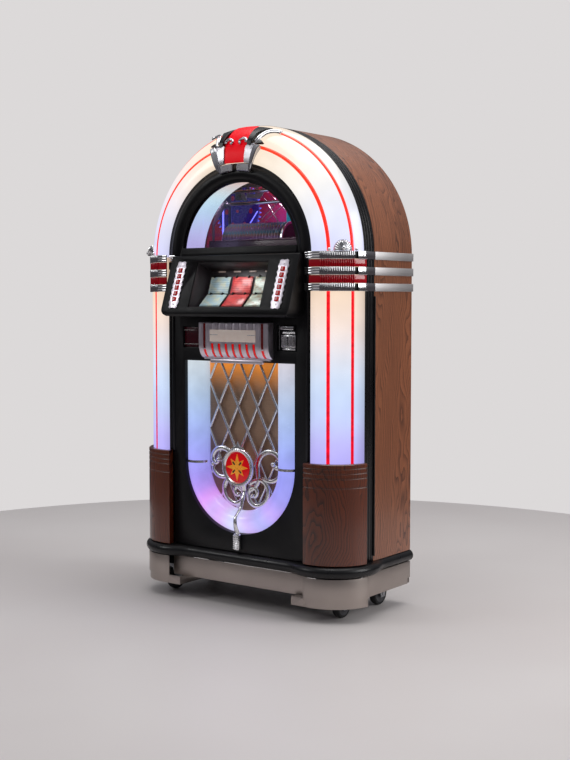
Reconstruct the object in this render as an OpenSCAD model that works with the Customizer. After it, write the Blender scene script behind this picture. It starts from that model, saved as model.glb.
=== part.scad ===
// Arch-topped jukebox, slim-line pattern: a wooden cabinet on a nickel plinth with casters,
// and a deep front door that carries the light columns, the title pod and the speaker grille.
// +X is to the right as seen from the front, -Y is the front, +Z is up; the floor is z = 0.

/* [Cabinet] */
// Outer half width, which is also the radius of the arch
half_w = 410; // [400:1:420]
// Height of the arch's centre above the floor
arch_z = 1112; // [1105:1:1120]
// Depth of the wooden body behind the door seam
body_d = 227; // [220:1:240]
// Thickness of the wooden walls
wall_t = 18; // [15:1:22]
// Underside of the wooden body and of the door
body_z = 174; // [172:1:176]

/* [Door] */
// Distance from the seam to the face of the black front
front_d = 147; // [140:1:152]
// Thickness of the black front
front_t = 18; // [16:1:20]
// Half width of the black front between the light columns
front_hw = 286; // [280:1:290]
// Half width of the black front between the wooden column bases
front_low_hw = 268; // [262:1:272]
// Radius of the window in the arch
window_r = 228; // [220:1:232]
// Lower edge of the window
window_z = 1140; // [1135:1:1150]

/* [Light columns] */
// Centre of each column's rounding, from the middle
col_x = 293; // [290:1:296]
// Centre of each column's rounding, ahead of the seam
col_y = 38; // [34:1:42]
// Outer radius of the lit columns
col_r = 122; // [119:1:124]
// Outer radius of the lit arch's section
arch_sec_r = 118; // [114:1:119]
// Outer radius of the wooden column bases
base_r = 137; // [134:1:140]
// Top of the wooden column bases
base_top = 484; // [470:1:500]

/* [Grille] */
// Outer half width of the lit U
u_hw = 219; // [214:1:224]
// Height of the lit U's arc centre
u_z = 453; // [446:1:460]
// Top of the lit U
u_top = 780; // [770:1:788]
// Spacing of the lattice bars across
lattice_w = 78; // [70:1:90]

/* [Plinth and casters] */
// Top of the nickel plinth
plinth_top = 137; // [130:1:140]
// Caster wheel radius
wheel_r = 37.5; // [34:0.5:38]
// Distance of the casters from the middle
caster_x = 336; // [325:1:340]

/* [Hidden] */
$fn = 96;

// Gaps: between door and cabinet, and round moving pieces
seam_gap = 1.3;
run_gap = 0.05;
door_z = body_z + 2.5;

// Inside of the wooden body
in_hw = half_w - wall_t;
rear_y = 205;
rear_t = 6;

// Hinge line of the door
hinge_x = 413;
hinge_r = 2.4;
pin_r = 1.2;
hinge_lo = 190;
hinge_hi = 985;
knuckles = 9;

// Edge moulding round the door
edge_d = 57;
edge_in = 396;

// Decorative bands at the foot of the arch: lower edges of the bright strips
strip_zs = [1000, 1048.5, 1095.5];
strip_h = 24.3;
band_r = 131;

// Title pod: a face that leans back from a deep lower edge
pod_hw = 252;
pod_top_y = 167;
pod_top_z = 1112;
pod_low_y = 227;
pod_low_z = 938;
pod_tilt = atan((pod_low_y - pod_top_y) / (pod_top_z - pod_low_z));
pod_mid = [0, -(pod_top_y + pod_low_y) / 2, (pod_top_z + pod_low_z) / 2];
key_x = 203;
key_pitch = 19.2;
key_size = 14;
key_gap = 0.5;
key_first = 44;

// Disc mechanism
disc_r = 60;
disc_y = 75;
disc_z = 1168;
disc_pitch = 12;
disc_count = 20;
disc_x0 = -196;
shelf_top = 1104;
rod_y = 100;
rod_z = [1296, 1336];
rod_r = 6;
carriage_x = 92;
arm_pin = [carriage_x, 74, 1300];
tooth_c = [-230, 150, 1275];
tooth_r = 99;
tooth_n = 40;

// Lock on the free side of the door
lock_y = 30;
lock_z = 905;
lock_r = 9.5;
cam_x = -in_hw + 0.6;

// Casters
front_caster_y = -84;
caster_trail = 20;
rear_caster_y = 147;
plate_z = 97;
axle_r = 5;

// Bubble tubes: their angles in the column's section, and their radius
tube_angles = [66, 30];
tube_r = 4.5;

// Outline of the arch in front view, as (x, z)
module arch_outline(r, low) {
    translate([-r, low]) square([2 * r, arch_z - low]);
    intersection() {
        translate([0, arch_z]) circle(r, $fn = 180);
        translate([-r, arch_z - 1]) square([2 * r, r + 1]);
    }
}

// Stands a front-view outline up and gives it depth from y = -near to y = -far
module stand(near, far) {
    translate([0, -near, 0]) rotate([90, 0, 0]) linear_extrude(far - near) children();
}

// Sweeps a section given as (radius, distance ahead of the seam) round the arch
module round_arch(from = 0, sweep = 180) {
    translate([0, 0, arch_z]) rotate([90, 0, 0]) rotate([0, 0, from])
        rotate_extrude(angle = sweep, $fn = 180) children();
}

module both_sides() {
    children();
    mirror([1, 0, 0]) children();
}

// Places children on the leaning face of the title pod, with z as the face's normal
module on_pod() {
    translate(pod_mid) rotate([90 - pod_tilt, 0, 0]) children();
}

// Ring section in the column's plan, between two radii and two plan angles
module column_ring(r0, r1, z0, z1, a0, a1) {
    translate([col_x, -col_y, z0]) rotate([0, 0, a0])
        rotate_extrude(angle = a1 - a0) translate([r0, 0]) square([r1 - r0, z1 - z0]);
}

module box(lo, hi) {
    translate(lo) cube(hi - lo);
}

// ---- Cabinet ----

module cabinet_shell() {
    color("#6b3d22") stand(-body_d, -1) difference() {
        arch_outline(half_w, body_z);
        arch_outline(in_hw, body_z - 1);
    }
}

module rear_panel() {
    color("#2a2522") stand(-rear_y - rear_t, -rear_y) difference() {
        arch_outline(in_hw - 0.5, body_z);
        for (row = [0:7]) for (side = [-1, 1])
            translate([side * 120 - 80, 930 + row * 22]) square([160, 7]);
        for (row = [0:5]) translate([-70, 320 + row * 22]) square([140, 7]);
        translate([-274, 216]) square([48, 28]);
    }
}

module rear_screws() {
    color("silver") for (z = [230, 560, 880, 1100]) for (side = [-1, 1])
        translate([side * 372, rear_y + rear_t, z]) rotate([-90, 0, 0]) {
            cylinder(h = 1.4, r1 = 7, r2 = 5.5, $fn = 32);
        }
}

module mains_inlet() {
    color("#151515") difference() {
        union() {
            box([-273.8, rear_y - 22, 216.2], [-226.2, rear_y + rear_t, 243.8]);
            box([-286, rear_y + rear_t, 210], [-214, rear_y + rear_t + 3, 250]);
        }
        box([-264, rear_y - 14, 220], [-236, rear_y + rear_t + 4, 240]);
    }
}

module base_board() {
    color("#3a2f28") {
        box([-380, -100, plinth_top], [380, 218, body_z]);
        for (side = [-1, 1]) {
            translate([side * caster_x - 50, front_caster_y - 45, plate_z + 3])
                cube([100, 100, plinth_top - plate_z - 3]);
            translate([side * caster_x - 45, rear_caster_y - 50, plate_z + 3])
                cube([90, 100, plinth_top - plate_z - 3]);
        }
    }
}

// Half-round nose, as (outward distance, height)
module nose_section(reach) {
    h = body_z - plinth_top;
    square([reach - h / 2, h]);
    translate([reach - h / 2, h / 2]) circle(h / 2, $fn = 48);
}

module base_moulding() {
    nose_r = 149;
    front_y = 162;
    color("#16171a") difference() {
        union() {
            both_sides() {
                translate([col_x, -col_y, plinth_top]) rotate_extrude() nose_section(nose_r);
                translate([300, body_d, plinth_top]) rotate([90, 0, 0])
                    linear_extrude(body_d + col_y) nose_section(119);
            }
            translate([-col_x, 0, plinth_top]) rotate([90, 0, 90])
                linear_extrude(2 * col_x) mirror([1, 0]) nose_section(front_y);
        }
        box([-380, -100, plinth_top - 1], [380, body_d + 1, body_z + 1]);
    }
}

module plinth_plates() {
    foot_z = 46;
    step_z = 70;
    plate_r = 139;
    plate_t = 3;
    color("#b0a9a2") {
        both_sides() {
            column_ring(plate_r - plate_t, plate_r, step_z, plinth_top, -100, -7);
            column_ring(plate_r - 6, plate_r - plate_t, foot_z, step_z + 4, -100, -7);
            box([224, -173, foot_z], [227, -60, 73]);
            box([227, -173, foot_z], [271, -170, 73]);
            box([407, -53.5, 66], [410, 208, plinth_top]);
            box([407, 208, 50 + 34], [410, 223, plinth_top]);
        }
        box([-268, -152, 74], [268, -149, plinth_top]);
        box([-407, 220, 66], [407, 223, plinth_top]);
    }
}

module side_strips() {
    color("#c9c8c6") both_sides() for (z = strip_zs)
        box([half_w, 1.2, z], [half_w + 3, body_d, z + strip_h]);
}

module inner_boards() {
    baffle_y = 40;
    color("#8d6f4d") {
        difference() {
            box([-in_hw, baffle_y, body_z], [in_hw, baffle_y + 15, 760]);
            translate([0, baffle_y - 1, 430]) rotate([-90, 0, 0]) cylinder(h = 20, r = 132);
            both_sides() translate([170, baffle_y - 1, 650]) rotate([-90, 0, 0])
                cylinder(h = 20, r = 62);
        }
        box([-in_hw, 8, shelf_top - 12], [in_hw, rear_y, shelf_top]);
        both_sides() box([in_hw - 18, 8, 1060], [in_hw, rear_y, shelf_top - 12]);
    }
}

// Loudspeaker seen from the front: rim, cone, basket and magnet in one turned shape
module driver(r, depth) {
    rotate([-90, 0, 0]) rotate_extrude() polygon([[0, 6], [r * 0.3, 6 - depth * 0.04],
        [r * 0.34, depth * 0.3], [r * 0.92, 4], [r * 0.96, -3], [r * 1.12, -3], [r * 1.12, 0],
        [r * 0.99, 0], [r * 0.97, 16], [r * 0.5, depth * 0.66], [r * 0.5, depth], [0, depth]]);
}

module speakers() {
    color("#1b1b1c") {
        translate([0, 40, 430]) driver(132, 120);
        both_sides() translate([170, 40, 650]) driver(62, 60);
    }
}

module amplifier() {
    color("#4a4c50") {
        box([-330, 60, body_z], [-70, 176, body_z + 92]);
        for (i = [0:12])
            box([-320 + i * 20, 60, body_z + 92], [-317 + i * 20, 176, body_z + 112]);
        // power supply beside it
        box([80, 76, body_z], [300, 190, body_z + 80]);
    }
}

// ---- Disc mechanism ----

module backdrop() {
    color("#7d1322") {
        stand(-168, -165) arch_outline(in_hw - 0.5, shelf_top);
        translate([tooth_c[0], 139, tooth_c[2]]) rotate([-90, 0, 0]) cylinder(h = 26, r = 5);
        translate([tooth_c[0], 153, tooth_c[2]]) rotate([-90, 0, 0]) cylinder(h = 12, r = 24);
    }
}

module toothed_disc() {
    color("#1c1c7a") translate([tooth_c[0], tooth_c[1], tooth_c[2]]) rotate([90, 0, 0])
        difference() {
            union() {
                linear_extrude(4) {
                    circle(tooth_r - 11);
                    for (i = [0:tooth_n - 1]) rotate([0, 0, i * 360 / tooth_n])
                        polygon([[tooth_r - 13, -6], [tooth_r, 0], [tooth_r - 13, 6]]);
                }
                cylinder(h = 9, r = 16);
            }
            translate([0, 0, -1]) cylinder(h = 11, r = 5 + run_gap);
        }
}

module mech_frame() {
    side_x = 250;
    end_x = disc_x0 + disc_count * disc_pitch;
    color("#b9bcc2") {
        both_sides() box([side_x - 3, 30, shelf_top], [side_x, 128, 1352]);
        for (z = rod_z) translate([-side_x + 3, rod_y, z]) rotate([0, 90, 0])
            cylinder(h = 2 * side_x - 6, r = rod_r);
        // slotted rack under the discs
        difference() {
            box([disc_x0 - 14, disc_y - 58, shelf_top], [end_x + 8, disc_y + 58, disc_z - 30]);
            for (i = [0:disc_count - 1])
                translate([disc_x0 + i * disc_pitch - 0.8, disc_y, disc_z]) rotate([0, 90, 0])
                    cylinder(h = 1.6, r = disc_r + 0.3);
            box([disc_x0 - 6, disc_y - 44, shelf_top + 8], [end_x - 4, disc_y + 44, disc_z]);
        }
        translate([end_x + 1, disc_y, disc_z]) rotate([0, 90, 0]) cylinder(h = 5, r = 61);
        // brown rail that hides the rack's foot
        box([-246, 8, shelf_top], [246, 14, 1170]);
        // player deck
        box([118, 34, shelf_top], [238, 122, 1150]);
        translate([178, 78, 1150]) cylinder(h = 8, r = 40);
    }
}

module discs() {
    color("#c8ccd4") for (i = [0:disc_count - 1])
        translate([disc_x0 + i * disc_pitch - 0.6, disc_y, disc_z]) rotate([0, 90, 0])
            difference() {
                cylinder(h = 1.2, r = disc_r);
                translate([0, 0, -1]) cylinder(h = 4, r = 7.5);
            }
}

module disc_carriage() {
    color("#9da3ab") difference() {
        union() {
            box([carriage_x - 26, rod_y - 14, rod_z[0] - 14], [carriage_x + 26, rod_y + 14, rod_z[1] + 14]);
            for (s = [-1, 1]) box([carriage_x + s * 15 - 3, arm_pin[1] - 9, arm_pin[2] - 8],
                [carriage_x + s * 15 + 3, rod_y - 14, arm_pin[2] + 8]);
            translate([carriage_x - 18, arm_pin[1], arm_pin[2]]) rotate([0, 90, 0]) cylinder(h = 36, r = 3);
        }
        for (z = rod_z) translate([carriage_x - 27, rod_y, z]) rotate([0, 90, 0])
            cylinder(h = 54, r = rod_r + run_gap);
    }
}

module gripper_arm() {
    color("#d5d9de") difference() {
        union() {
            translate([carriage_x - 11, arm_pin[1], arm_pin[2]]) rotate([0, 90, 0]) cylinder(h = 22, r = 7);
            for (s = [-1, 1]) box([carriage_x + s * 8 - 2, arm_pin[1] - 58, arm_pin[2] - 4],
                [carriage_x + s * 8 + 2, arm_pin[1] - 5, arm_pin[2] + 4]);
            box([carriage_x - 10, arm_pin[1] - 62, arm_pin[2] - 4],
                [carriage_x + 10, arm_pin[1] - 54, arm_pin[2] + 4]);
        }
        translate([carriage_x - 12, arm_pin[1], arm_pin[2]]) rotate([0, 90, 0])
            cylinder(h = 24, r = 3 + run_gap);
    }
}

// ---- Hinge ----

// One leaf of the long hinge; the knuckles of the two leaves take turns
module leaf(first, side) {
    pitch = (hinge_hi - hinge_lo) / knuckles;
    near_y = side < 0 ? -seam_gap : 0.3;
    far_y = side < 0 ? -0.3 : 1;
    box([394, near_y, hinge_lo], [411.5, far_y, hinge_hi]);
    for (i = [first:2:knuckles - 1]) {
        difference() {
            union() {
                box([410.5, near_y, hinge_lo + i * pitch + 0.5],
                    [hinge_x - 0.2, far_y, hinge_lo + (i + 1) * pitch - 0.5]);
                translate([hinge_x, 0, hinge_lo + i * pitch + 0.5])
                    cylinder(h = pitch - 1, r = hinge_r, $fn = 32);
            }
            if (first == 1) translate([hinge_x, 0, hinge_lo + i * pitch - 1])
                cylinder(h = pitch + 2, r = pin_r + run_gap, $fn = 32);
        }
    }
}

module hinge_cabinet_leaf() {
    color("#202124") difference() {
        union() {
            leaf(0, 1);
            translate([hinge_x, 0, hinge_lo]) cylinder(h = hinge_hi - hinge_lo, r = pin_r, $fn = 32);
        }
        hinge_relief(1);
    }
    // keeper pin for the lock, on the other wall
    color("#b8b9bc") translate([-in_hw, 10, lock_z - 11]) rotate([0, 90, 0]) cylinder(h = 9, r = 3);
}

module hinge_door_leaf() {
    color("#202124") difference() {
        leaf(1, -1);
        hinge_relief(0);
    }
}

// Room round the other leaf's knuckles
module hinge_relief(first) {
    pitch = (hinge_hi - hinge_lo) / knuckles;
    for (i = [first:2:knuckles - 1])
        translate([hinge_x, 0, hinge_lo + i * pitch]) difference() {
            cylinder(h = pitch, r = hinge_r + 0.3, $fn = 32);
            translate([0, 0, -1]) cylinder(h = pitch + 2, r = pin_r, $fn = 32);
        }
}

// ---- Casters ----

module caster_plates() {
    color("#8c8f93") {
        both_sides() {
            translate([caster_x, front_caster_y, 0]) {
                box([-30, -30, plate_z - 0.5], [30, 30, plate_z + 3]);
                translate([0, 0, plate_z - 16]) cylinder(h = 16, r = 6);
                translate([0, 0, plate_z - 18]) cylinder(h = 2.5, r = 9);
            }
            translate([caster_x, rear_caster_y, 0]) {
                box([-30, -30, plate_z], [30, 30, plate_z + 3]);
                fork(0);
            }
        }
    }
}

// Fork with its axle; the wheel's centre lies at the given trail behind the top
module fork(trail) {
    for (s = [-1, 1]) {
        translate([s * 18 - 1.5, trail, wheel_r]) rotate([90, 0, 90])
            linear_extrude(3) polygon([[-11, -11], [11, -11], [22 - trail, plate_z - 5 - wheel_r],
                [22 - trail, plate_z - 1 - wheel_r], [-22 - trail, plate_z - 1 - wheel_r],
                [-22 - trail, plate_z - 5 - wheel_r]]);
    }
    box([-19.5, -22, plate_z - 5], [19.5, 22, plate_z - (trail > 0 ? 1 : 0)]);
    translate([-22, trail, wheel_r]) rotate([0, 90, 0]) cylinder(h = 44, r = axle_r);
}

module swivel_fork() {
    color("#85888c") translate([0, front_caster_y, 0]) difference() {
        union() {
            fork(caster_trail);
            translate([0, 0, plate_z - 15]) cylinder(h = 14, r = 14);
        }
        translate([0, 0, plate_z - 20]) cylinder(h = 21, r = 6 + run_gap);
        translate([0, 0, plate_z - 21]) cylinder(h = 6.2, r = 10);
    }
}

module caster_fork_left() {
    translate([-caster_x, 0, 0]) swivel_fork();
}

module caster_fork_right() {
    translate([caster_x, 0, 0]) swivel_fork();
}

module wheel(x, y) {
    color("#18181a") translate([x - 12.5, y, wheel_r]) rotate([0, 90, 0]) difference() {
        rotate_extrude() polygon([[0, 0], [12, 0], [12, 2], [wheel_r - 6, 2], [wheel_r - 5, 0],
            [wheel_r - 3, 0.5], [wheel_r, 6], [wheel_r, 19], [wheel_r - 3, 24.5],
            [wheel_r - 5, 25], [wheel_r - 6, 23], [12, 23], [12, 25], [0, 25]]);
        translate([0, 0, -1]) cylinder(h = 28, r = axle_r + run_gap);
    }
}

module front_wheel_left() {
    wheel(-caster_x, front_caster_y + caster_trail);
}

module front_wheel_right() {
    wheel(caster_x, front_caster_y + caster_trail);
}

module rear_wheel_left() {
    wheel(-caster_x, rear_caster_y);
}

module rear_wheel_right() {
    wheel(caster_x, rear_caster_y);
}

// ---- Door ----

module u_outline(hw) {
    translate([-hw, u_z]) square([2 * hw, u_top - u_z]);
    translate([0, u_z]) circle(hw, $fn = 128);
}

// Front board, the rounded ring on it and the box frame behind it are three solids
module door_panel() {
    color("#101216") difference() {
        union() {
            front_board();
            window_ring();
            door_frame();
        }
        // room for the lock's cam
        box([-edge_in, -15, lock_z - 20], [-372, -1, lock_z + 75]);
        // coin recess and credit window recess
        box([151, -front_d - 1, 817], [228, -front_d + 10, 899]);
        box([-227, -front_d - 1, 820], [-151, -front_d + 8, 890]);
        box([165, -front_d - 1, 883], [215, -front_d + front_t + 1, 895]);
    }
}

module front_board() {
    bead_r = 5.5;
    stand(front_d - front_t, front_d) difference() {
        union() {
            translate([-front_low_hw, door_z])
                square([2 * front_low_hw, base_top - door_z]);
            arch_outline(front_hw, base_top);
        }
        window_outline(window_r);
        u_outline(u_hw);
        translate([-150, 935]) square([300, 160]);
    }
    // half-round beads beside the light columns
    feet = [base_top + 0.5, strip_zs[0] + strip_h + 0.4, strip_zs[1] + strip_h + 0.4];
    both_sides() for (x = [268, 280]) for (i = [0:2]) translate([x, -front_d, feet[i]])
        cylinder(h = strip_zs[i] - 0.4 - feet[i], r = bead_r, $fn = 32);
    // stepped rails below the window
    box([-window_r, -front_d - 6, pod_top_z + 4], [window_r, -front_d, pod_top_z + 13]);
    box([-window_r, -front_d - 3, pod_top_z + 13], [window_r, -front_d, window_z]);
}

// Rounded ring about the window; it ends above the pod and above the upper bright strips
module window_ring() {
    ring_x = (window_r + front_hw) / 2;
    foot_z = pod_top_z + 4;
    strip_top = strip_zs[2] + strip_h + 0.4;
    difference() {
        round_arch() intersection() {
            translate([ring_x, 126]) circle((front_hw - window_r) / 2, $fn = 64);
            translate([window_r, front_d + 0.1]) square([front_hw - window_r, 60]);
        }
        box([-front_hw - 1, -front_d - 20, arch_z - 5], [front_hw + 1, -front_d, foot_z]);
        both_sides() box([ring_x - 2, -front_d - 20, arch_z - 5],
            [front_hw + 1, -front_d, strip_top]);
    }
}

// Walls, arch and rear flange behind the front board
module door_frame() {
    wall_out = 280;
    wall_in = 262;
    front_y = front_d - front_t - 0.1;
    both_sides() box([wall_in, -front_y, door_z], [wall_out, -2, arch_z]);
    round_arch() translate([wall_in, 2]) square([wall_out - wall_in, front_y - 2]);
    stand(2, 14) difference() {
        arch_outline(edge_in - 4, door_z);
        arch_outline(wall_out, door_z - 1);
    }
}

module window_outline(r) {
    intersection() {
        translate([0, arch_z]) circle(r, $fn = 180);
        translate([-r, window_z]) square([2 * r, r]);
    }
}

module window_glass() {
    color("#9fb4c8", 0.25) stand(126, front_d - front_t) intersection() {
        translate([0, arch_z]) circle(262, $fn = 180);
        translate([-260, arch_z + 8]) square([520, 260]);
    }
}

// Translucent shell: a slice of a ring beyond the front's edge and ahead of the edge moulding,
// with two open channels that hold the bubble tubes
module light_section(r, t, hw) {
    tube_at = r - tube_r + 0.2;
    difference() {
        intersection() {
            union() {
                difference() {
                    translate([col_x, col_y]) circle(r, $fn = 128);
                    translate([col_x, col_y]) circle(r - t, $fn = 128);
                }
                for (a = tube_angles) on_column(a, tube_at) circle(tube_r + 2.4, $fn = 32);
            }
            translate([col_x, col_y]) circle(r, $fn = 128);
            translate([hw, edge_d + 0.5]) square([140, 140]);
        }
        for (a = tube_angles) on_column(a, tube_at) {
            circle(tube_r + 0.2, $fn = 32);
            translate([0, -tube_r - 0.2]) square([10, 2 * tube_r + 0.4]);
        }
    }
    translate([hw, front_d - 16]) square([4, col_y + r - front_d + 13]);
}

// Places a shape at a radius and angle of the column's section, with x pointing outwards
module on_column(a, r) {
    translate([col_x, col_y]) rotate(a) translate([r, 0]) children();
}

module arch_light() {
    color("#ffe9dc") {
        round_arch() light_section(arch_sec_r, 4, front_hw + 0.2);
        // lit wall of the window's tunnel
        round_arch() translate([244, 20]) square([4, front_d - front_t - 23.3]);
    }
}

module pilaster_lights() {
    color("#dfe9ff") both_sides() translate([0, 0, base_top]) linear_extrude(arch_z - base_top)
        mirror([0, 1]) light_section(col_r, 4, front_hw + 0.2);
}

module bubble_tubes() {
    color("#ff3a16") for (a = tube_angles) {
        both_sides() translate([0, 0, base_top]) linear_extrude(arch_z - base_top)
            mirror([0, 1]) on_column(a, col_r - tube_r + 0.2) circle(tube_r, $fn = 32);
        round_arch() on_column(a, arch_sec_r - tube_r + 0.2) circle(tube_r, $fn = 32);
    }
}

// Black moulding with long ridges, as (x, distance ahead of the seam)
module edge_section() {
    difference() {
        translate([edge_in, seam_gap]) square([half_w - edge_in, edge_d - seam_gap]);
        for (d = [14, 28, 42]) translate([half_w + 1.5, d]) circle(4, $fn = 32);
    }
}

module edge_moulding() {
    color("#141519") difference() {
        union() {
            both_sides() translate([0, 0, door_z]) linear_extrude(arch_z - door_z)
                mirror([0, 1]) edge_section();
            round_arch() edge_section();
        }
        translate([-half_w - 2, -lock_y, lock_z]) rotate([0, 90, 0])
            cylinder(h = half_w - edge_in + 4, r = lock_r + run_gap);
    }
}

// Bright strip: wing on the front, curve round the column, leaf on the door's side
module chrome_bands() {
    wing_in = 258;
    color("#d9d9dc") both_sides() {
        for (i = [0:2]) {
            z = strip_zs[i];
            column_ring(col_r + 0.3, band_r, z, z + strip_h, -94.5, -8);
            box([wing_in, -front_d - 5, z + 2], [286, -front_d, z + strip_h - 2]);
            box([281, -col_y - band_r, z], [286, -front_d, z + strip_h]);
            box([half_w, -edge_d, z], [420, -edge_d + 4, z + strip_h]);
            box([half_w, -edge_d, z], [half_w + 3, -seam_gap - 0.7, z + strip_h]);
        }
        // ribbed half dome that crowns the bands, with a bead on each side
        translate([380, -126, strip_zs[2] + strip_h]) intersection() {
            difference() {
                sphere(24, $fn = 48);
                sphere(10, $fn = 32);
            }
            translate([-40, -40, 0]) cube([80, 80, 40]);
            union() {
                translate([col_x - 380, 126 - col_y, 0]) difference() {
                    cylinder(h = 30, r = band_r + 4);
                    cylinder(h = 30, r = col_r + 0.4);
                }
            }
        }
    }
}

module red_bands() {
    color("#8e0f1c") both_sides() for (i = [0:1]) {
        z0 = strip_zs[i] + strip_h;
        z1 = strip_zs[i + 1];
        column_ring(col_r + 0.3, band_r - 5, z0, z1, -94.5, -8);
    }
}

module pilaster_bases() {
    groove_zs = [412, 440, 455, 470];
    inner_r = 112;
    color("#6d3b20") both_sides() difference() {
        translate([col_x, -col_y, door_z]) rotate([0, 0, -100.5]) rotate_extrude(angle = 90)
            translate([inner_r, 0]) square([base_r - inner_r, base_top - door_z - 0.1]);
        for (z = groove_zs) translate([col_x, -col_y, z]) rotate_extrude()
            translate([base_r + 1, 0]) circle(3.5, $fn = 24);
    }
}

// Crown over the top of the arch, swept in the arch's own section
module crown_section(r0, r1, a0) {
    intersection() {
        difference() {
            translate([col_x, col_y]) circle(r1, $fn = 128);
            translate([col_x, col_y]) circle(r0, $fn = 128);
        }
        translate([col_x, col_y])
            polygon([[0, 0], [200 * cos(a0), 200 * sin(a0)], [200, 200], [0, 200]]);
    }
}

module crown_saddle() {
    half_a = 6.6;
    color("#c4121f") {
        round_arch(90 - half_a, 2 * half_a) {
            crown_section(arch_sec_r + 0.4, arch_sec_r + 8, 24);
            translate([front_hw, 156.6]) square([col_x - front_hw, 7]);
        }
    }
}

module crown_brackets() {
    color("#cfd0d4") for (a = [-9.8, 6.8]) {
        round_arch(90 + a, 3) crown_section(arch_sec_r + 0.4, arch_sec_r + 15, 34);
        round_arch(90 + (a < 0 ? a : 3.4), 6.4) translate([262, 155.6]) square([front_hw - 262.2, 10]);
        round_arch(90 + a, 3) translate([284, 156.5]) square([12, 12]);
    }
}

// ---- Title pod ----

module pod_profile() {
    polygon([[-front_d, pod_top_z + 3], [-pod_top_y + 4, pod_top_z + 3], [-pod_top_y, pod_top_z],
        [-pod_low_y, pod_low_z], [-pod_low_y, pod_low_z - 8], [-pod_low_y + 6, pod_low_z - 15],
        [-front_d, pod_low_z - 17]]);
}

module title_pod() {
    corner = 28;
    face_hw = 142;
    color("#0d0e11") difference() {
        intersection() {
            translate([-pod_hw, 0, 0]) rotate([90, 0, 90]) linear_extrude(2 * pod_hw) pod_profile();
            stand(0, 260) {
                translate([-pod_hw, pod_low_z - 17 + corner])
                    square([2 * pod_hw, pod_top_z + 3 - pod_low_z + 17 - corner]);
                translate([-pod_hw + corner, pod_low_z - 18])
                    square([2 * (pod_hw - corner), corner + 2]);
                both_sides() translate([pod_hw - corner, pod_low_z - 17 + corner]) circle(corner);
            }
        }
        on_pod() box([-face_hw, -78, -30], [face_hw, 72, 20]);
        // pockets behind the keys
        on_pod() for (side = [-1, 1]) for (i = [0:5])
            translate([side * key_x, key_first - i * key_pitch, -8])
                cube([key_size + 2 * key_gap, key_size + 2 * key_gap, 24], center = true);
    }
}

// Open booklets in two rows: the upper ones stand, the lower ones lean out at the foot
module title_cards() {
    card_w = 84;
    card_h = 64;
    pitch = 92;
    color("#8fb0bd") on_pod() {
        box([-141.5, -77.5, -30], [141.5, 71.5, -28]);
        for (col = [-1:1]) {
            translate([col * pitch - card_w / 2, 2, -28]) cube([card_w, card_h, 3]);
            translate([col * pitch, -4, -27.5]) rotate([-17, 0, 0])
                translate([-card_w / 2, -card_h, 0]) cube([card_w, card_h, 3]);
        }
    }
}

// Scalloped plate of each column of keys
module key_strips() {
    color("#d5d6d9") on_pod() for (side = [-1, 1]) translate([side * key_x, -4, 0]) difference() {
        linear_extrude(3.5) {
            translate([-12, -66]) square([24, 132]);
            for (i = [0:6]) for (s = [-1, 1]) translate([s * 12, -57.6 + i * 19.2]) circle(5, $fn = 32);
            // fish-tail ends
            for (s = [-1, 1]) scale([1, s]) translate([0, 66])
                polygon([[-8, -1], [-9, 6], [-13, 15], [-5, 13], [0, 9], [5, 13], [13, 15], [9, 6], [8, -1]]);
        }
        for (i = [0:5]) translate([0, key_first + 4 - i * key_pitch, 2])
            cube([key_size + 2 * key_gap, key_size + 2 * key_gap, 8], center = true);
    }
}

module key(side, i) {
    color("#d01624") on_pod() translate([side * key_x, key_first - i * key_pitch, 0])
        box([-key_size / 2, -key_size / 2, -12], [key_size / 2, key_size / 2, 7]);
}

module key_left_1() { key(-1, 0); }
module key_left_2() { key(-1, 1); }
module key_left_3() { key(-1, 2); }
module key_left_4() { key(-1, 3); }
module key_left_5() { key(-1, 4); }
module key_left_6() { key(-1, 5); }
module key_right_1() { key(1, 0); }
module key_right_2() { key(1, 1); }
module key_right_3() { key(1, 2); }
module key_right_4() { key(1, 3); }
module key_right_5() { key(1, 4); }
module key_right_6() { key(1, 5); }

// ---- Selector and coin entry ----

module selector_grille() {
    top_z = 903;
    bend_z = 837;
    low_z = 792;
    proud = 29;
    color("#d3d4d7") {
        difference() {
            translate([-138, 0, 0]) rotate([90, 0, 90]) linear_extrude(276) intersection() {
                translate([-front_d - proud, low_z]) square([proud, top_z - low_z]);
                union() {
                    translate([-front_d - proud, bend_z]) square([proud, top_z - bend_z]);
                    translate([-front_d, bend_z]) scale([proud, bend_z - low_z]) circle(1, $fn = 96);
                }
            }
            // upright flutes
            for (i = [0:10]) translate([-120 + i * 24, -front_d - proud - 1, low_z - 1])
                cylinder(h = top_z - low_z - 12, r = 3.6, $fn = 24);
        }
        box([-96, -front_d - 16, 762], [96, -front_d, 774]);
    }
}

module coin_fittings() {
    floor_y = -front_d + 10;
    color("#cfd0d3") {
        stand(-floor_y, -floor_y + 5) difference() {
            union() {
                translate([176, 848]) circle(17, $fn = 64);
                translate([203, 848]) circle(17, $fn = 64);
                translate([176, 831]) square([27, 34]);
            }
            translate([188.5, 836]) square([3, 26]);
        }
        stand(-floor_y, -floor_y + 7) translate([160, 820]) square([60, 7]);
        stand(-floor_y, -floor_y + 7) translate([160, 869]) square([60, 9]);
    }
}

module reject_button() {
    color("#e0e0e2") box([165.5, -front_d - 2, 883.5], [214.5, -front_d + front_t - 1, 894.5]);
}

// ---- Grille ----

// Shell of the lit U, as (distance from the middle, distance ahead of the seam)
module u_section() {
    tube_w = 36.3;
    intersection() {
        difference() {
            translate([u_hw - 0.3 - tube_w, 121]) circle(tube_w, $fn = 96);
            translate([u_hw - 0.3 - tube_w, 121]) circle(tube_w - 4, $fn = 96);
        }
        translate([100, 89]) square([130, 90]);
    }
}

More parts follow.
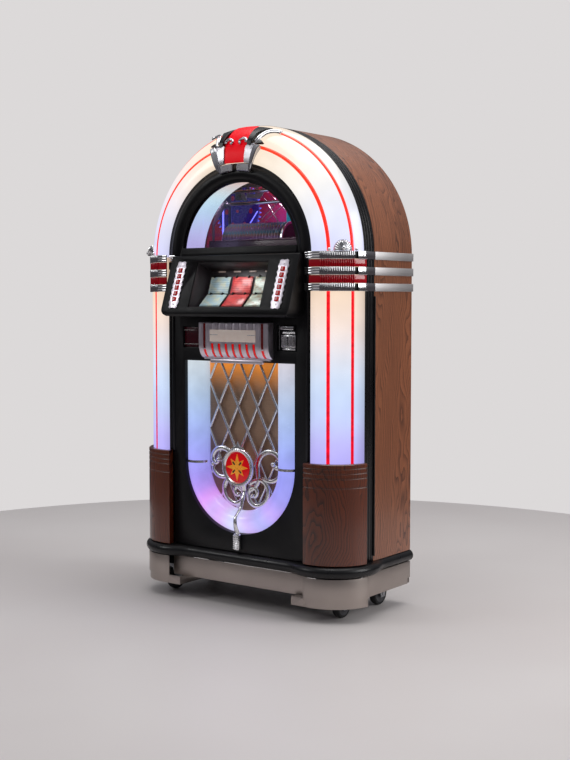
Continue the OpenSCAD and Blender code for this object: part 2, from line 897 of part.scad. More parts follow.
module u_light() {
    color("#bcd3ff") {
        both_sides() translate([0, 0, u_z]) linear_extrude(u_top - u_z) mirror([0, 1]) u_section();
        translate([0, 0, u_z]) rotate([90, 0, 0]) rotate([0, 0, 180])
            rotate_extrude(angle = 180, $fn = 128) u_section();
    }
}

module grille_lattice() {
    lattice_y = 97;
    rise = 79;
    lean = atan(lattice_w / 2 / rise);
    reach = 146;
    color("#cfcfd2") {
        for (layer = [0, 1]) intersection() {
            for (i = [-5:7]) translate([i * lattice_w, -lattice_y + (layer == 0 ? -2.1 : 2.1), 561])
                rotate([0, layer == 0 ? lean : -lean, 0]) translate([0, 0, -700])
                    cylinder(h = 1400, r = 2, $fn = 16);
            stand(lattice_y - 8, lattice_y + 8) intersection() {
                u_outline(reach);
                translate([-reach, 300]) square([2 * reach, u_top - 300]);
            }
        }
    }
}

// Flat scroll: a ring with a gap, and a ball at its inner end
module scroll(x, z, r, w, from, sweep) {
    translate([x, 0, z]) rotate([90, 0, 0]) rotate([0, 0, from])
        rotate_extrude(angle = sweep, $fn = 64) translate([r, 0]) circle(w, $fn = 20);
    translate([x + r * cos(from + sweep), 0, z + r * sin(from + sweep)]) sphere(w * 1.5, $fn = 24);
}

module grille_ornament() {
    med_z = 442;
    color("#c9c9cc") translate([0, -143, 0]) {
        translate([0, 0, med_z]) rotate([90, 0, 0]) {
            cylinder(h = 8, r = 49);
            translate([0, 0, -4]) rotate_extrude() translate([54, 6]) circle(7, $fn = 24);
            translate([0, 0, 7]) cylinder(h = 3, r = 14);
        }
        for (side = [-1, 1]) mirror([side < 0 ? 1 : 0, 0, 0]) {
            scroll(98, med_z + 22, 34, 5, -150, 285);
            scroll(60, 354, 21, 5, -60, 270);
            scroll(26, 336, 13, 4, 30, 250);
        }
        // stem over the tube's lowest point and tab on the front below it
        box([-9, -21, 262], [9, -15, 372]);
        box([-13, -18, 184], [13, -4, 232]);
        box([-9, -21, 225], [9, -15, 264]);
    }
    // clips across the lit U
    color("#c9c9cc") both_sides() box([128, -162, 449], [222, -157.6, 457]);
}

module speaker_cloth() {
    color("#8a6a3c") box([-262, -88.5, 200], [262, -84.5, 800]);
}

module lock_cam() {
    color("#b8b9bc") {
        translate([-half_w - 1.5, -lock_y, lock_z]) rotate([0, 90, 0])
            cylinder(h = 1.3, r = lock_r + 2);
        translate([-half_w - 0.2, -lock_y, lock_z]) rotate([0, 90, 0])
            cylinder(h = half_w - edge_in + 6, r = lock_r);
        box([cam_x, -lock_y - 6, lock_z - 6], [cam_x + 4, -lock_y + 6, lock_z + 56]);
        box([cam_x, -lock_y + 6, lock_z + 49], [cam_x + 4, -lock_y + 14, lock_z + 56]);
    }
}

// Cabinet
cabinet_shell();
rear_panel();
rear_screws();
mains_inlet();
base_board();
base_moulding();
plinth_plates();
side_strips();
inner_boards();
speakers();
amplifier();
backdrop();
mech_frame();
discs();
hinge_cabinet_leaf();
caster_plates();
// Moving pieces inside the cabinet and under it
disc_carriage();
gripper_arm();
toothed_disc();
caster_fork_left();
caster_fork_right();
front_wheel_left();
front_wheel_right();
rear_wheel_left();
rear_wheel_right();
// Door
door_panel();
window_glass();
arch_light();
pilaster_lights();
bubble_tubes();
edge_moulding();
chrome_bands();
red_bands();
pilaster_bases();
crown_brackets();
crown_saddle();
title_pod();
title_cards();
key_strips();
selector_grille();
coin_fittings();
reject_button();
u_light();
grille_lattice();
grille_ornament();
speaker_cloth();
hinge_door_leaf();
lock_cam();
key_left_1();
key_left_2();
key_left_3();
key_left_4();
key_left_5();
key_left_6();
key_right_1();
key_right_2();
key_right_3();
key_right_4();
key_right_5();
key_right_6();
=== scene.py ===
# %% [markdown]
# # A slim arch-topped jukebox
# The machine is a veneered cabinet with a deep front door. The door carries two lit columns, a lit
# arch, a title pod, a chrome selector and a lit U round the speaker grille. The CAD frame holds the
# sizes and the joints; this file gives each piece its fine shape and its finish.

from math import acos, asin, cos, degrees, hypot, pi, radians, sin, sqrt, tau

import bmesh
import bpy
from mathutils import Matrix, Vector


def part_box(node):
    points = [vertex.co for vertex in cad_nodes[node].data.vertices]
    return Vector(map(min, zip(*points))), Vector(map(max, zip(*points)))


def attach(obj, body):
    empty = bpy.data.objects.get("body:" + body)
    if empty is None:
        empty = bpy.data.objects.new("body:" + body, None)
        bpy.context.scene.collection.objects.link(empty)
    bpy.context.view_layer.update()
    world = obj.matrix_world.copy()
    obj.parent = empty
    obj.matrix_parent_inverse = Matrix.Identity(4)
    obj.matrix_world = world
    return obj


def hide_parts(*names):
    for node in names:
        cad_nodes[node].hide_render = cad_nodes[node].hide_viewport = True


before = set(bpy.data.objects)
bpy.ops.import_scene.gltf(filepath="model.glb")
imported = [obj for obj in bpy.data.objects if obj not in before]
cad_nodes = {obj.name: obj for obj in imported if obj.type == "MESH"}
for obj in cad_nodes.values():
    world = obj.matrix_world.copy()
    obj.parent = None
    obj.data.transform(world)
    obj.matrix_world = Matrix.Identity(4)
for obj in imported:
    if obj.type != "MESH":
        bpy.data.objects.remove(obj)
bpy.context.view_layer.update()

# %% [markdown]
# ## Places that everything else is worked out from
# The door seam is y = 0 and the front faces -Y. Most sections are given as (distance from the
# middle, distance ahead of the seam), because the same section runs up a column, round the arch
# and down again.

# %% Places
MM = 0.001
ARCH_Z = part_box("arch_light")[0].z
HALF_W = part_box("cabinet_shell")[1].x
BACK_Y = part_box("cabinet_shell")[1].y
BODY_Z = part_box("cabinet_shell")[0].z
WALL = 18 * MM
BASE_R = 137 * MM
BASE_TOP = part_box("pilaster_bases")[1].z
COL_R = 122 * MM
ARCH_SEC_R = 118 * MM
COL_Y = -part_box("pilaster_lights")[0].y - COL_R
COL_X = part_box("pilaster_bases")[1].x - BASE_R * cos(radians(10.5))
FRONT = -(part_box("reject_button")[0].y + 2 * MM)
FRONT_HW = 286.2 * MM


def mm(*values):
    """Lengths given in millimetres, as metres."""
    return tuple(value * MM for value in values)


def mm_points(*points):
    return [mm(*point) for point in points]


print("arch centre", ARCH_Z, "half width", HALF_W, "columns at", round(COL_X, 4), round(COL_Y, 4))

# %% [markdown]
# ## The camera
# It stands to the right of the machine at about the height of the pod and looks slightly down.

# %% Camera
camera_data = bpy.data.cameras.new("camera")
camera_data.lens = 59.1
camera = bpy.data.objects.new("camera", camera_data)
camera.location = (2.434, -3.212, 0.976)
camera.rotation_euler = (radians(86.3), 0, radians(36.3))
bpy.context.scene.collection.objects.link(camera)
bpy.context.scene.camera = camera
bpy.context.scene.view_settings.view_transform = "Standard"
print("camera lens", camera_data.lens)

# %% [markdown]
# ## A short way to wire nodes
# Every finish is a small tree of nodes. `Graph` adds a node and wires its inputs in one call, so
# that each tree below reads as a list of steps.


# %% Graph helper
class Graph:
    def __init__(self, tree):
        self.tree = tree

    def add(self, kind, inputs=None, **settings):
        node = self.tree.nodes.new(kind)
        for key, value in settings.items():
            setattr(node, key, value)
        for key, value in (inputs or {}).items():
            if isinstance(value, bpy.types.NodeSocket):
                self.tree.links.new(value, node.inputs[key])
            else:
                node.inputs[key].default_value = value
        return node

    def math(self, operation, *values):
        return self.add("ShaderNodeMath", dict(enumerate(values)), operation=operation).outputs[0]

    def scaled(self, vector, factors):
        inputs = {0: vector, 1: factors}
        return self.add("ShaderNodeVectorMath", inputs, operation="MULTIPLY").outputs[0]

    def shifted(self, vector, by):
        return self.add("ShaderNodeVectorMath", {0: vector, 1: by}, operation="ADD").outputs[0]

    def noise(self, vector, scale, detail=3.0, roughness=0.55, distortion=0.0):
        inputs = {"Vector": vector, "Scale": scale, "Detail": detail, "Roughness": roughness}
        inputs["Distortion"] = distortion
        return self.add("ShaderNodeTexNoise", inputs).outputs[0]

    def spread(self, value, low, high, to_low, to_high):
        inputs = {"Value": value, "From Min": low, "From Max": high}
        inputs.update({"To Min": to_low, "To Max": to_high})
        return self.add("ShaderNodeMapRange", inputs).outputs[0]

    def mix(self, share, low, high, blend="MIX"):
        inputs = {0: share, 6: low, 7: high}
        return self.add("ShaderNodeMix", inputs, data_type="RGBA", blend_type=blend).outputs[2]

    def ramp(self, value, stops, interpolation="LINEAR"):
        node = self.add("ShaderNodeValToRGB", {0: value})
        ramp = node.color_ramp
        ramp.interpolation = interpolation
        ramp.elements[0].position = stops[0][0]
        ramp.elements[0].color = stops[0][1]
        ramp.elements[1].position = stops[-1][0]
        ramp.elements[1].color = stops[-1][1]
        for place, colour in stops[1:-1]:
            ramp.elements.new(place).color = colour
        return node.outputs[0]

    def parts(self, vector):
        return self.add("ShaderNodeSeparateXYZ", {0: vector}).outputs

    def joined(self, x, y, z):
        return self.add("ShaderNodeCombineXYZ", {0: x, 1: y, 2: z}).outputs[0]

    def place(self, kind="Object"):
        return self.add("ShaderNodeTexCoord").outputs[kind]

    def bump(self, height, strength, distance):
        inputs = {"Height": height, "Strength": strength, "Distance": distance}
        return self.add("ShaderNodeBump", inputs).outputs[0]

    def group(self, tree, inputs):
        node = self.add("ShaderNodeGroup", node_tree=tree)
        for key, value in inputs.items():
            if isinstance(value, bpy.types.NodeSocket):
                self.tree.links.new(value, node.inputs[key])
            else:
                node.inputs[key].default_value = value
        return node.outputs

    def wire(self, socket, target):
        self.tree.links.new(socket, target)


def screen(red, green, blue):
    """A colour as a paint chart gives it, 0 to 255, made linear for the shader."""
    def linear(value):
        share = value / 255
        return share / 12.92 if share <= 0.04045 else ((share + 0.055) / 1.055) ** 2.4
    return (linear(red), linear(green), linear(blue), 1.0)


def new_group(name, inputs, outputs):
    """An empty shader group with named sockets; the caller fills it in."""
    tree = bpy.data.node_groups.new(name, "ShaderNodeTree")
    for label, kind, value in inputs:
        socket = tree.interface.new_socket(name=label, in_out="INPUT", socket_type=kind)
        if value is not None:
            socket.default_value = value
    for label, kind in outputs:
        tree.interface.new_socket(name=label, in_out="OUTPUT", socket_type=kind)
    graph = Graph(tree)
    return tree, graph, graph.add("NodeGroupInput").outputs, graph.add("NodeGroupOutput").inputs


def new_material(name, colour, roughness, metallic=0.0, **constants):
    """A material with its constants set on the shader itself."""
    material = bpy.data.materials.new(name)
    material.use_nodes = True
    shader = material.node_tree.nodes["Principled BSDF"]
    shader.inputs["Base Color"].default_value = colour
    shader.inputs["Roughness"].default_value = roughness
    shader.inputs["Metallic"].default_value = metallic
    for key, value in constants.items():
        shader.inputs[key.replace("_", " ")].default_value = value
    return material, Graph(material.node_tree), shader.inputs


print("graph helper ready")

# %% [markdown]
# ## Effects that more than one finish shares
# Handled surfaces have faint smudges, mouldings have a fine texture, everything that faces up
# catches a little dust, and both veneer and solid wood have a figure. Each effect is one group.


# %% Shared groups
def smudge_group():
    inputs = [("Vector", "NodeSocketVector", None), ("Size", "NodeSocketFloat", 9.0),
              ("Low", "NodeSocketFloat", 0.1), ("High", "NodeSocketFloat", 0.25)]
    outputs = [("Roughness", "NodeSocketFloat"), ("Height", "NodeSocketFloat")]
    tree, g, given, out = new_group("smudges", inputs, outputs)
    broad = g.noise(given["Vector"], given["Size"], 4.0, 0.6, 0.4)
    fine = g.noise(given["Vector"], g.math("MULTIPLY", given["Size"], 14.0), 2.0)
    both = g.math("ADD", g.math("MULTIPLY", broad, 0.75), g.math("MULTIPLY", fine, 0.25))
    level = g.add("ShaderNodeMapRange", {"Value": both, "From Min": 0.38, "From Max": 0.66,
                                         "To Min": given["Low"], "To Max": given["High"]})
    g.wire(level.outputs[0], out["Roughness"])
    g.wire(fine, out["Height"])
    return tree


def grain_group():
    inputs = [("Vector", "NodeSocketVector", None), ("Size", "NodeSocketFloat", 700.0)]
    tree, g, given, out = new_group("fine_texture", inputs, [("Height", "NodeSocketFloat")])
    cells = g.add("ShaderNodeTexVoronoi", {"Vector": given["Vector"], "Scale": given["Size"]})
    soft = g.noise(given["Vector"], g.math("MULTIPLY", given["Size"], 0.6), 2.0)
    g.wire(g.math("ADD", g.math("MULTIPLY", cells.outputs["Distance"], 0.6), soft), out["Height"])
    return tree


def dust_group():
    inputs = [("Vector", "NodeSocketVector", None), ("Amount", "NodeSocketFloat", 0.15)]
    tree, g, given, out = new_group("settled_dust", inputs, [("Mask", "NodeSocketFloat")])
    up = g.parts(g.add("ShaderNodeNewGeometry").outputs["Normal"])[2]
    facing = g.spread(up, 0.35, 1.0, 0.0, 1.0)
    patches = g.spread(g.noise(given["Vector"], 26.0, 4.0), 0.35, 0.75, 0.2, 1.0)
    g.wire(g.math("MULTIPLY", g.math("MULTIPLY", facing, patches), given["Amount"]), out["Mask"])
    return tree


def wood_group():
    """Figure of crown-cut veneer; x of the vector runs with the grain, y across it, in metres."""
    inputs = [("Vector", "NodeSocketVector", None), ("Light", "NodeSocketColor", screen(142, 90, 62)),
              ("Dark", "NodeSocketColor", screen(70, 38, 27)), ("Ring Pitch", "NodeSocketFloat", 0.011)]
    outputs = [("Color", "NodeSocketColor"), ("Roughness", "NodeSocketFloat"),
               ("Height", "NodeSocketFloat")]
    tree, g, given, out = new_group("wood_figure", inputs, outputs)
    drift = g.noise(g.scaled(given["Vector"], (1.6, 5.0, 1.0)), 1.0, 3.0, 0.5, 0.3)
    wander = g.noise(g.scaled(given["Vector"], (7.0, 30.0, 1.0)), 1.0, 3.0)
    across = g.parts(given["Vector"])[1]
    moved = g.math("ADD", across, g.math("MULTIPLY", g.math("SUBTRACT", drift, 0.5), 0.34))
    moved = g.math("ADD", moved, g.math("MULTIPLY", g.math("SUBTRACT", wander, 0.5), 0.012))
    rings = g.math("FRACT", g.math("DIVIDE", moved, given["Ring Pitch"]))
    late = g.math("POWER", rings, 2.6)
    streaks = g.noise(g.scaled(given["Vector"], (5.0, 420.0, 1.0)), 1.0, 3.0, 0.6)
    pores = g.noise(g.scaled(given["Vector"], (60.0, 1700.0, 1.0)), 1.0, 2.0, 0.5)
    pore_mask = g.spread(pores, 0.56, 0.68, 0.0, 1.0)
    tone = g.math("ADD", g.math("MULTIPLY", late, 0.42), g.math("MULTIPLY", streaks, 0.5))
    patch = g.noise(g.scaled(given["Vector"], (1.1, 7.0, 1.0)), 1.0, 2.0)
    tone = g.math("ADD", tone, g.math("MULTIPLY", g.math("SUBTRACT", patch, 0.5), 0.55))
    share = g.spread(tone, 0.15, 0.78, 0.0, 1.0)
    colour = g.mix(share, given["Light"], given["Dark"])
    pored = g.mix(g.math("MULTIPLY", pore_mask, 0.5), colour, given["Dark"])
    g.wire(pored, out["Color"])
    g.wire(g.spread(share, 0.0, 1.0, 0.34, 0.46), out["Roughness"])
    g.wire(g.math("SUBTRACT", g.math("MULTIPLY", share, 0.3), pore_mask), out["Height"])
    return tree


def brushed_group():
    """Fine parallel scratches along x of the vector."""
    inputs = [("Vector", "NodeSocketVector", None), ("Low", "NodeSocketFloat", 0.25),
              ("High", "NodeSocketFloat", 0.45)]
    outputs = [("Roughness", "NodeSocketFloat"), ("Height", "NodeSocketFloat")]
    tree, g, given, out = new_group("brushed_lines", inputs, outputs)
    lines = g.noise(g.scaled(given["Vector"], (6.0, 6.0, 900.0)), 1.0, 3.0, 0.7)
    broad = g.noise(given["Vector"], 7.0, 3.0)
    level = g.add("ShaderNodeMapRange", {"Value": g.math("ADD", g.math("MULTIPLY", lines, 0.6),
                                                         g.math("MULTIPLY", broad, 0.4)),
                                         "From Min": 0.3, "From Max": 0.7,
                                         "To Min": given["Low"], "To Max": given["High"]})
    g.wire(level.outputs[0], out["Roughness"])
    g.wire(lines, out["Height"])
    return tree


SMUDGES = smudge_group()
FINE_TEXTURE = grain_group()
DUST = dust_group()
WOOD = wood_group()
BRUSHED = brushed_group()
print("shared groups:", [tree.name for tree in bpy.data.node_groups])

# %% [markdown]
# ## Finishes
# Each function below is one finish. Painted and moulded surfaces share the smudges, the fine
# texture and the dust; bare metals share the smudges or the brushed lines.


# %% Painted, moulded and metal finishes
def coated(name, colour, low, high, texture=700.0, bump=0.05, dust=0.12, **constants):
    """Paint or moulded plastic: fine texture, smudges and a little dust."""
    material, g, shader = new_material(name, colour, low, **constants)
    place = g.place()
    smudges = g.group(SMUDGES, {"Vector": place, "Low": low, "High": high})
    grain = g.group(FINE_TEXTURE, {"Vector": place, "Size": texture})
    mask = g.group(DUST, {"Vector": place, "Amount": dust})["Mask"]
    mottled = g.mix(g.spread(g.noise(place, 40.0, 3.0), 0.3, 0.7, 0.0, 0.25), colour,
                    tuple(min(1.0, c * 1.5 + 0.004) for c in colour[:3]) + (1.0,))
    g.wire(g.mix(mask, mottled, screen(150, 143, 136)), shader["Base Color"])
    g.wire(smudges["Roughness"], shader["Roughness"])
    g.wire(g.bump(grain["Height"], bump, 0.0004), shader["Normal"])
    return material


def bright_metal(name, colour, low, high, bump=0.02, **constants):
    """Plated metal: nearly a mirror, with smudges."""
    material, g, shader = new_material(name, colour, low, 1.0, **constants)
    place = g.place()
    smudges = g.group(SMUDGES, {"Vector": place, "Size": 14.0, "Low": low, "High": high})
    tarnish = g.spread(g.noise(place, 8.0, 4.0), 0.4, 0.75, 0.0, 0.35)
    g.wire(g.mix(tarnish, colour, tuple(c * 0.72 for c in colour[:3]) + (1.0,)), shader["Base Color"])
    g.wire(smudges["Roughness"], shader["Roughness"])
    g.wire(g.bump(smudges["Height"], bump, 0.0005), shader["Normal"])
    return material


def brushed_metal(name, colour, low, high, bump=0.12, dust=0.05):
    material, g, shader = new_material(name, colour, low, 1.0)
    place = g.place()
    lines = g.group(BRUSHED, {"Vector": place, "Low": low, "High": high})
    mask = g.group(DUST, {"Vector": place, "Amount": dust})["Mask"]
    stained = g.mix(g.spread(g.noise(place, 5.0, 4.0), 0.35, 0.8, 0.0, 0.4), colour,
                    tuple(c * 0.7 for c in colour[:3]) + (1.0,))
    g.wire(g.mix(mask, stained, screen(140, 132, 124)), shader["Base Color"])
    g.wire(lines["Roughness"], shader["Roughness"])
    g.wire(g.bump(lines["Height"], bump, 0.0003), shader["Normal"])
    return material


def wood_finish(name, light, dark, pitch=0.011, coat=0.35):
    """Lacquered walnut; the piece's own UV map gives the grain's direction, in metres."""
    material, g, shader = new_material(name, light, 0.4, Coat_Weight=coat, Coat_Roughness=0.14)
    place = g.place("UV")
    figure = g.group(WOOD, {"Vector": place, "Light": light, "Dark": dark, "Ring Pitch": pitch})
    mask = g.group(DUST, {"Vector": g.place(), "Amount": 0.1})["Mask"]
    g.wire(g.mix(mask, figure["Color"], screen(160, 150, 142)), shader["Base Color"])
    g.wire(figure["Roughness"], shader["Roughness"])
    g.wire(g.bump(figure["Height"], 0.18, 0.0003), shader["Normal"])
    return material


WALNUT = wood_finish("walnut_veneer", screen(162, 100, 68), screen(58, 28, 18))
BASE_WALNUT = wood_finish("walnut_base", screen(112, 48, 18), screen(34, 11, 4), 0.009, 0.6)
BLACK = coated("black_lacquer", screen(11, 11, 14), 0.36, 0.5, 500.0, 0.04, 0.03, Specular_IOR_Level=0.28)
POD_BLACK = coated("pod_black", screen(9, 9, 12), 0.38, 0.52, 900.0, 0.12, 0.03, Specular_IOR_Level=0.25)
EDGE_BLACK = coated("moulding_black", screen(12, 12, 15), 0.26, 0.4, 600.0, 0.03, 0.05,
                    Specular_IOR_Level=0.35)
CHROME = bright_metal("chrome", (0.78, 0.78, 0.8, 1.0), 0.06, 0.16)
SATIN_CHROME = bright_metal("satin_chrome", (0.5, 0.49, 0.52, 1.0), 0.24, 0.38, 0.05)
NICKEL = brushed_metal("brushed_nickel", screen(176, 166, 160), 0.3, 0.46)
ALUMINIUM = brushed_metal("aluminium_strip", screen(228, 225, 225), 0.42, 0.55, 0.06, 0.02)
ZINC = brushed_metal("zinc_plate", screen(168, 170, 174), 0.35, 0.5)
MECH_STEEL = brushed_metal("machined_steel", screen(150, 154, 165), 0.3, 0.45)
STEEL = bright_metal("lock_steel", (0.6, 0.6, 0.62, 1.0), 0.18, 0.3)
RUBBER = coated("wheel_rubber", screen(24, 24, 25), 0.6, 0.75, 500.0, 0.3, 0.3)
INLET_BLACK = coated("inlet_plastic", screen(18, 18, 19), 0.4, 0.55, 900.0, 0.15, 0.1)
CONE_BLACK = coated("speaker_cone", screen(26, 26, 28), 0.6, 0.8, 260.0, 0.4, 0.15)
AMP_GREY = coated("amplifier_paint", screen(78, 80, 85), 0.4, 0.55, 800.0, 0.15, 0.25)
REAR_BOARD = coated("rear_board", screen(58, 50, 44), 0.55, 0.7, 180.0, 0.35, 0.05)
INNER_BOARD = coated("inner_board", screen(120, 96, 70), 0.55, 0.7, 120.0, 0.3, 0.25)
RAIL_BROWN = coated("rail_brown", screen(70, 44, 58), 0.25, 0.4, 500.0, 0.05, 0.1)
BAND_RED = coated("band_red", screen(176, 0, 22), 0.08, 0.16, 300.0, 0.01, 0.02, Coat_Weight=0.6)
# crown_red carries a painted glow in its own red: the crown is no lamp.
CROWN_RED = coated("crown_red", screen(190, 0, 16), 0.34, 0.44, 300.0, 0.01, 0.0,
                   Specular_IOR_Level=0.2, Emission_Color=screen(236, 0, 24),
                   Emission_Strength=0.5)
KEY_RED = coated("key_red", screen(206, 16, 26), 0.22, 0.34, 900.0, 0.03, 0.03)
KEY_MARK = coated("key_mark", screen(214, 196, 190), 0.35, 0.45, 900.0, 0.03, 0.03)
DARK_RED = coated("channel_red", screen(104, 6, 14), 0.2, 0.32, 400.0, 0.02, 0.02)
RIB_METAL = bright_metal("ribbed_metal", (0.86, 0.8, 0.88, 1.0), 0.34, 0.44, 0.03)
ROD_SILVER = bright_metal("rod_silver", (0.86, 0.86, 0.88, 1.0), 0.2, 0.3, 0.03)
HINGE_BLACK = coated("hinge_black", screen(15, 14, 15), 0.4, 0.55, 600.0, 0.05, 0.05)
HUB_GREY = coated("hub_grey", screen(62, 62, 66), 0.4, 0.55, 600.0, 0.05, 0.1)
print("finishes:", len(bpy.data.materials))

# %% [markdown]
# ## Lit plastic
# Lamps behind milky plastic change colour slowly along the columns, the arch and the U. A ramp
# along the piece's UV map gives that change, a second one darkens the far edges of the section,
# and soft patches show where single lamps sit.


# %% Lit finishes
def lit_plastic(name, stops, across=((0.0, 1.0), (1.0, 1.0)), patch=0.05, strength=1.0, size=9.0,
                body=(0.06, 0.06, 0.065, 1.0)):
    """Milky plastic with a colour ramp along u and a brightness ramp across v, both 0 to 1."""
    material, g, shader = new_material(name, body, 0.24, Coat_Weight=0.15,
                                       Emission_Strength=strength)
    u, v, _ = g.parts(g.place("UV"))
    along = g.ramp(u, stops, "B_SPLINE" if len(stops) > 3 else "LINEAR")
    shade = g.ramp(v, [(p, (b, b, b, 1.0)) for p, b in across])
    lamps = g.spread(g.noise(g.place(), size, 2.0), 0.3, 0.7, 1.0 - patch, 1.0 + patch)
    lit = g.mix(1.0, along, shade, "MULTIPLY")
    lit = g.mix(1.0, lit, g.joined(lamps, lamps, lamps), "MULTIPLY")
    g.wire(lit, shader["Emission Color"])
    smudges = g.group(SMUDGES, {"Vector": g.place(), "Low": 0.18, "High": 0.3})
    g.wire(smudges["Roughness"], shader["Roughness"])
    return material


COLUMN_STOPS = [(0.0, screen(184, 176, 254)), (0.10, screen(196, 190, 255)), (0.2, screen(200, 212, 255)),
                (0.35, screen(205, 226, 255)), (0.5, screen(228, 232, 244)),
                (0.66, screen(250, 228, 216)), (0.86, screen(251, 222, 190)),
                (1.0, screen(220, 190, 165))]
COLUMN_ACROSS = [(0.0, 0.86), (0.12, 0.97), (0.45, 1.0), (0.8, 0.93), (1.0, 0.62)]
ARCH_STOPS = [(0.0, screen(214, 212, 250)), (0.08, screen(226, 230, 255)), (0.2, screen(250, 240, 244)),
              (0.34, screen(253, 236, 216)), (0.5, screen(252, 226, 196)),
              (0.66, screen(252, 238, 220)), (0.78, screen(252, 248, 240)),
              (0.9, screen(236, 240, 255)), (1.0, screen(214, 216, 255))]
ARCH_ACROSS = [(0.0, 0.93), (0.15, 1.0), (0.6, 1.0), (0.85, 0.95), (1.0, 0.85)]
U_STOPS = [(0.0, screen(214, 222, 226)), (0.10, screen(176, 204, 236)), (0.2, screen(160, 176, 248)),
           (0.29, screen(160, 150, 246)), (0.345, screen(178, 146, 244)), (0.38, screen(238, 156, 255)),
           (0.41, screen(206, 188, 255)), (0.44, screen(232, 170, 255)), (0.485, screen(205, 232, 255)),
           (0.53, screen(222, 178, 255)), (0.57, screen(170, 190, 255)), (0.61, screen(206, 166, 252)),
           (0.65, screen(160, 160, 250)), (0.72, screen(150, 152, 246)), (0.8, screen(164, 184, 248)),
           (0.9, screen(182, 206, 238)), (1.0, screen(216, 208, 214))]
U_ACROSS = [(0.0, 0.5), (0.2, 0.82), (0.5, 1.0), (0.8, 0.82), (1.0, 0.5)]
TUNNEL_STOPS = [(0.0, screen(182, 166, 226)), (0.12, screen(196, 196, 250)), (0.27, screen(186, 236, 250)),
                (0.4, screen(236, 206, 196)), (0.5, screen(224, 184, 160)),
                (0.6, screen(236, 206, 196)), (0.75, screen(186, 226, 250)), (1.0, screen(182, 166, 226))]
TUBE_STOPS = [(0.0, screen(214, 0, 36)), (0.22, screen(236, 12, 30)), (0.34, screen(255, 52, 26)),
              (0.5, screen(255, 66, 24)), (0.66, screen(255, 52, 26)), (0.78, screen(236, 12, 30)),
              (1.0, screen(214, 0, 36))]
LIT_COLUMN = lit_plastic("lit_column", COLUMN_STOPS, COLUMN_ACROSS)
LIT_ARCH = lit_plastic("lit_arch", ARCH_STOPS, ARCH_ACROSS)
LIT_U = lit_plastic("lit_u", U_STOPS, U_ACROSS, 0.08, 1.0, 16.0)
LIT_TUNNEL = lit_plastic("lit_tunnel", TUNNEL_STOPS, patch=0.06, strength=0.9)
LIT_TUBE = lit_plastic("lit_tube", TUBE_STOPS, patch=0.25, strength=1.15, size=60.0,
                       body=(0.03, 0.0, 0.0, 1.0))
print("lit finishes made")

# %% [markdown]
# ## Finishes with a pattern of their own
# The grille cloth has a weave and a painted warm glow along its upper edge, standing for a lamp behind it.
# The backdrop behind the discs has rays under a painted glow. The toothed disc is dark blue with an edge
# that carries light, and the booklets have plain coloured pages with a faint painted glow.


# %% Cloth, backdrop, discs, cards and glass
def cloth_finish():
    material, g, shader = new_material("grille_cloth", screen(120, 92, 66), 0.85, Sheen_Weight=0.3)
    place = g.place()
    x, _, z = g.parts(place)
    pitch = 1.4 * MM
    warp = g.math("SINE", g.math("MULTIPLY", x, tau / pitch))
    weft = g.math("SINE", g.math("MULTIPLY", z, tau / pitch))
    over = g.math("MAXIMUM", warp, weft)
    slub = g.noise(g.scaled(place, (30.0, 1.0, 300.0)), 1.0, 3.0)
    tone = g.math("ADD", g.math("MULTIPLY", g.spread(over, -1.0, 1.0, 0.0, 1.0), 0.5),
                  g.math("MULTIPLY", slub, 0.5))
    colour = g.mix(tone, screen(124, 94, 74), screen(196, 160, 130))
    g.wire(colour, shader["Base Color"])
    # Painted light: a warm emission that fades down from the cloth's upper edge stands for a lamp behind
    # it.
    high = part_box("u_light")[1].z
    height = g.spread(z, high - 0.11, high - 0.02, 0.0, 1.0)
    side = g.spread(g.noise(g.scaled(place, (9.0, 1.0, 4.0)), 1.0, 2.0), 0.3, 0.7, 0.35, 1.0)
    glow = g.math("MULTIPLY", g.math("POWER", height, 1.6), side)
    g.wire(g.mix(glow, (0.0, 0.0, 0.0, 1.0), screen(240, 140, 24)), shader["Emission Color"])
    shader["Emission Strength"].default_value = 0.9
    g.wire(g.bump(over, 0.5, 0.0003), shader["Normal"])
    return material


def backdrop_finish():
    """Dark red board with fine rays from low in the middle; the whole board glows a little as painted
    light, with a painted violet glow.
    """
    material, g, shader = new_material("rayed_backdrop", screen(110, 30, 50), 0.35,
                                       Emission_Strength=0.55)
    centre = (-0.02, 0.0, -(ARCH_Z + 60 * MM))
    x, _, z = g.parts(g.shifted(g.place(), centre))
    angle = g.math("ARCTAN2", z, x)
    rays = g.math("SINE", g.math("MULTIPLY", angle, 64.0))
    lit = g.spread(rays, 0.2, 0.9, 0.0, 0.5)
    g.wire(g.mix(lit, screen(120, 26, 48), screen(70, 30, 84)), shader["Base Color"])
    # Painted light: the board emits its ray pattern, and a violet pool of light round a point 60 mm above
    # the rays' centre is painted over it.
    up = g.math("SUBTRACT", z, 60 * MM)
    away = g.math("SQRT", g.math("ADD", g.math("MULTIPLY", x, x), g.math("MULTIPLY", up, up)))
    glow = g.spread(away, 0.02, 0.16, 1.0, 0.0)
    base = g.mix(lit, screen(118, 22, 44), screen(84, 22, 70))
    g.wire(g.mix(glow, base, screen(168, 40, 140)), shader["Emission Color"])
    return material


def tooth_finish():
    """Dark blue acrylic; lamps light it through its teeth."""
    material, g, shader = new_material("tooth_blue", screen(26, 22, 84), 0.18, Coat_Weight=0.4,
                                       Emission_Strength=1.6)
    low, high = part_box("toothed_disc")
    centre = (low + high) / 2
    x, _, z = g.parts(g.shifted(g.place(), tuple(-centre)))
    radius = g.math("SQRT", g.math("ADD", g.math("MULTIPLY", x, x), g.math("MULTIPLY", z, z)))
    edge = (high.x - low.x) / 2
    rim = g.spread(radius, edge - 14 * MM, edge, 0.0, 1.0)
    rings = g.math("SINE", g.math("MULTIPLY", radius, 420.0))
    dark = g.mix(g.spread(rings, 0.0, 1.0, 0.0, 0.5), screen(30, 22, 78), screen(44, 34, 120))
    g.wire(dark, shader["Base Color"])
    g.wire(g.mix(g.math("POWER", rim, 1.5), screen(16, 10, 60), screen(100, 112, 250)),
           shader["Emission Color"])
    return material


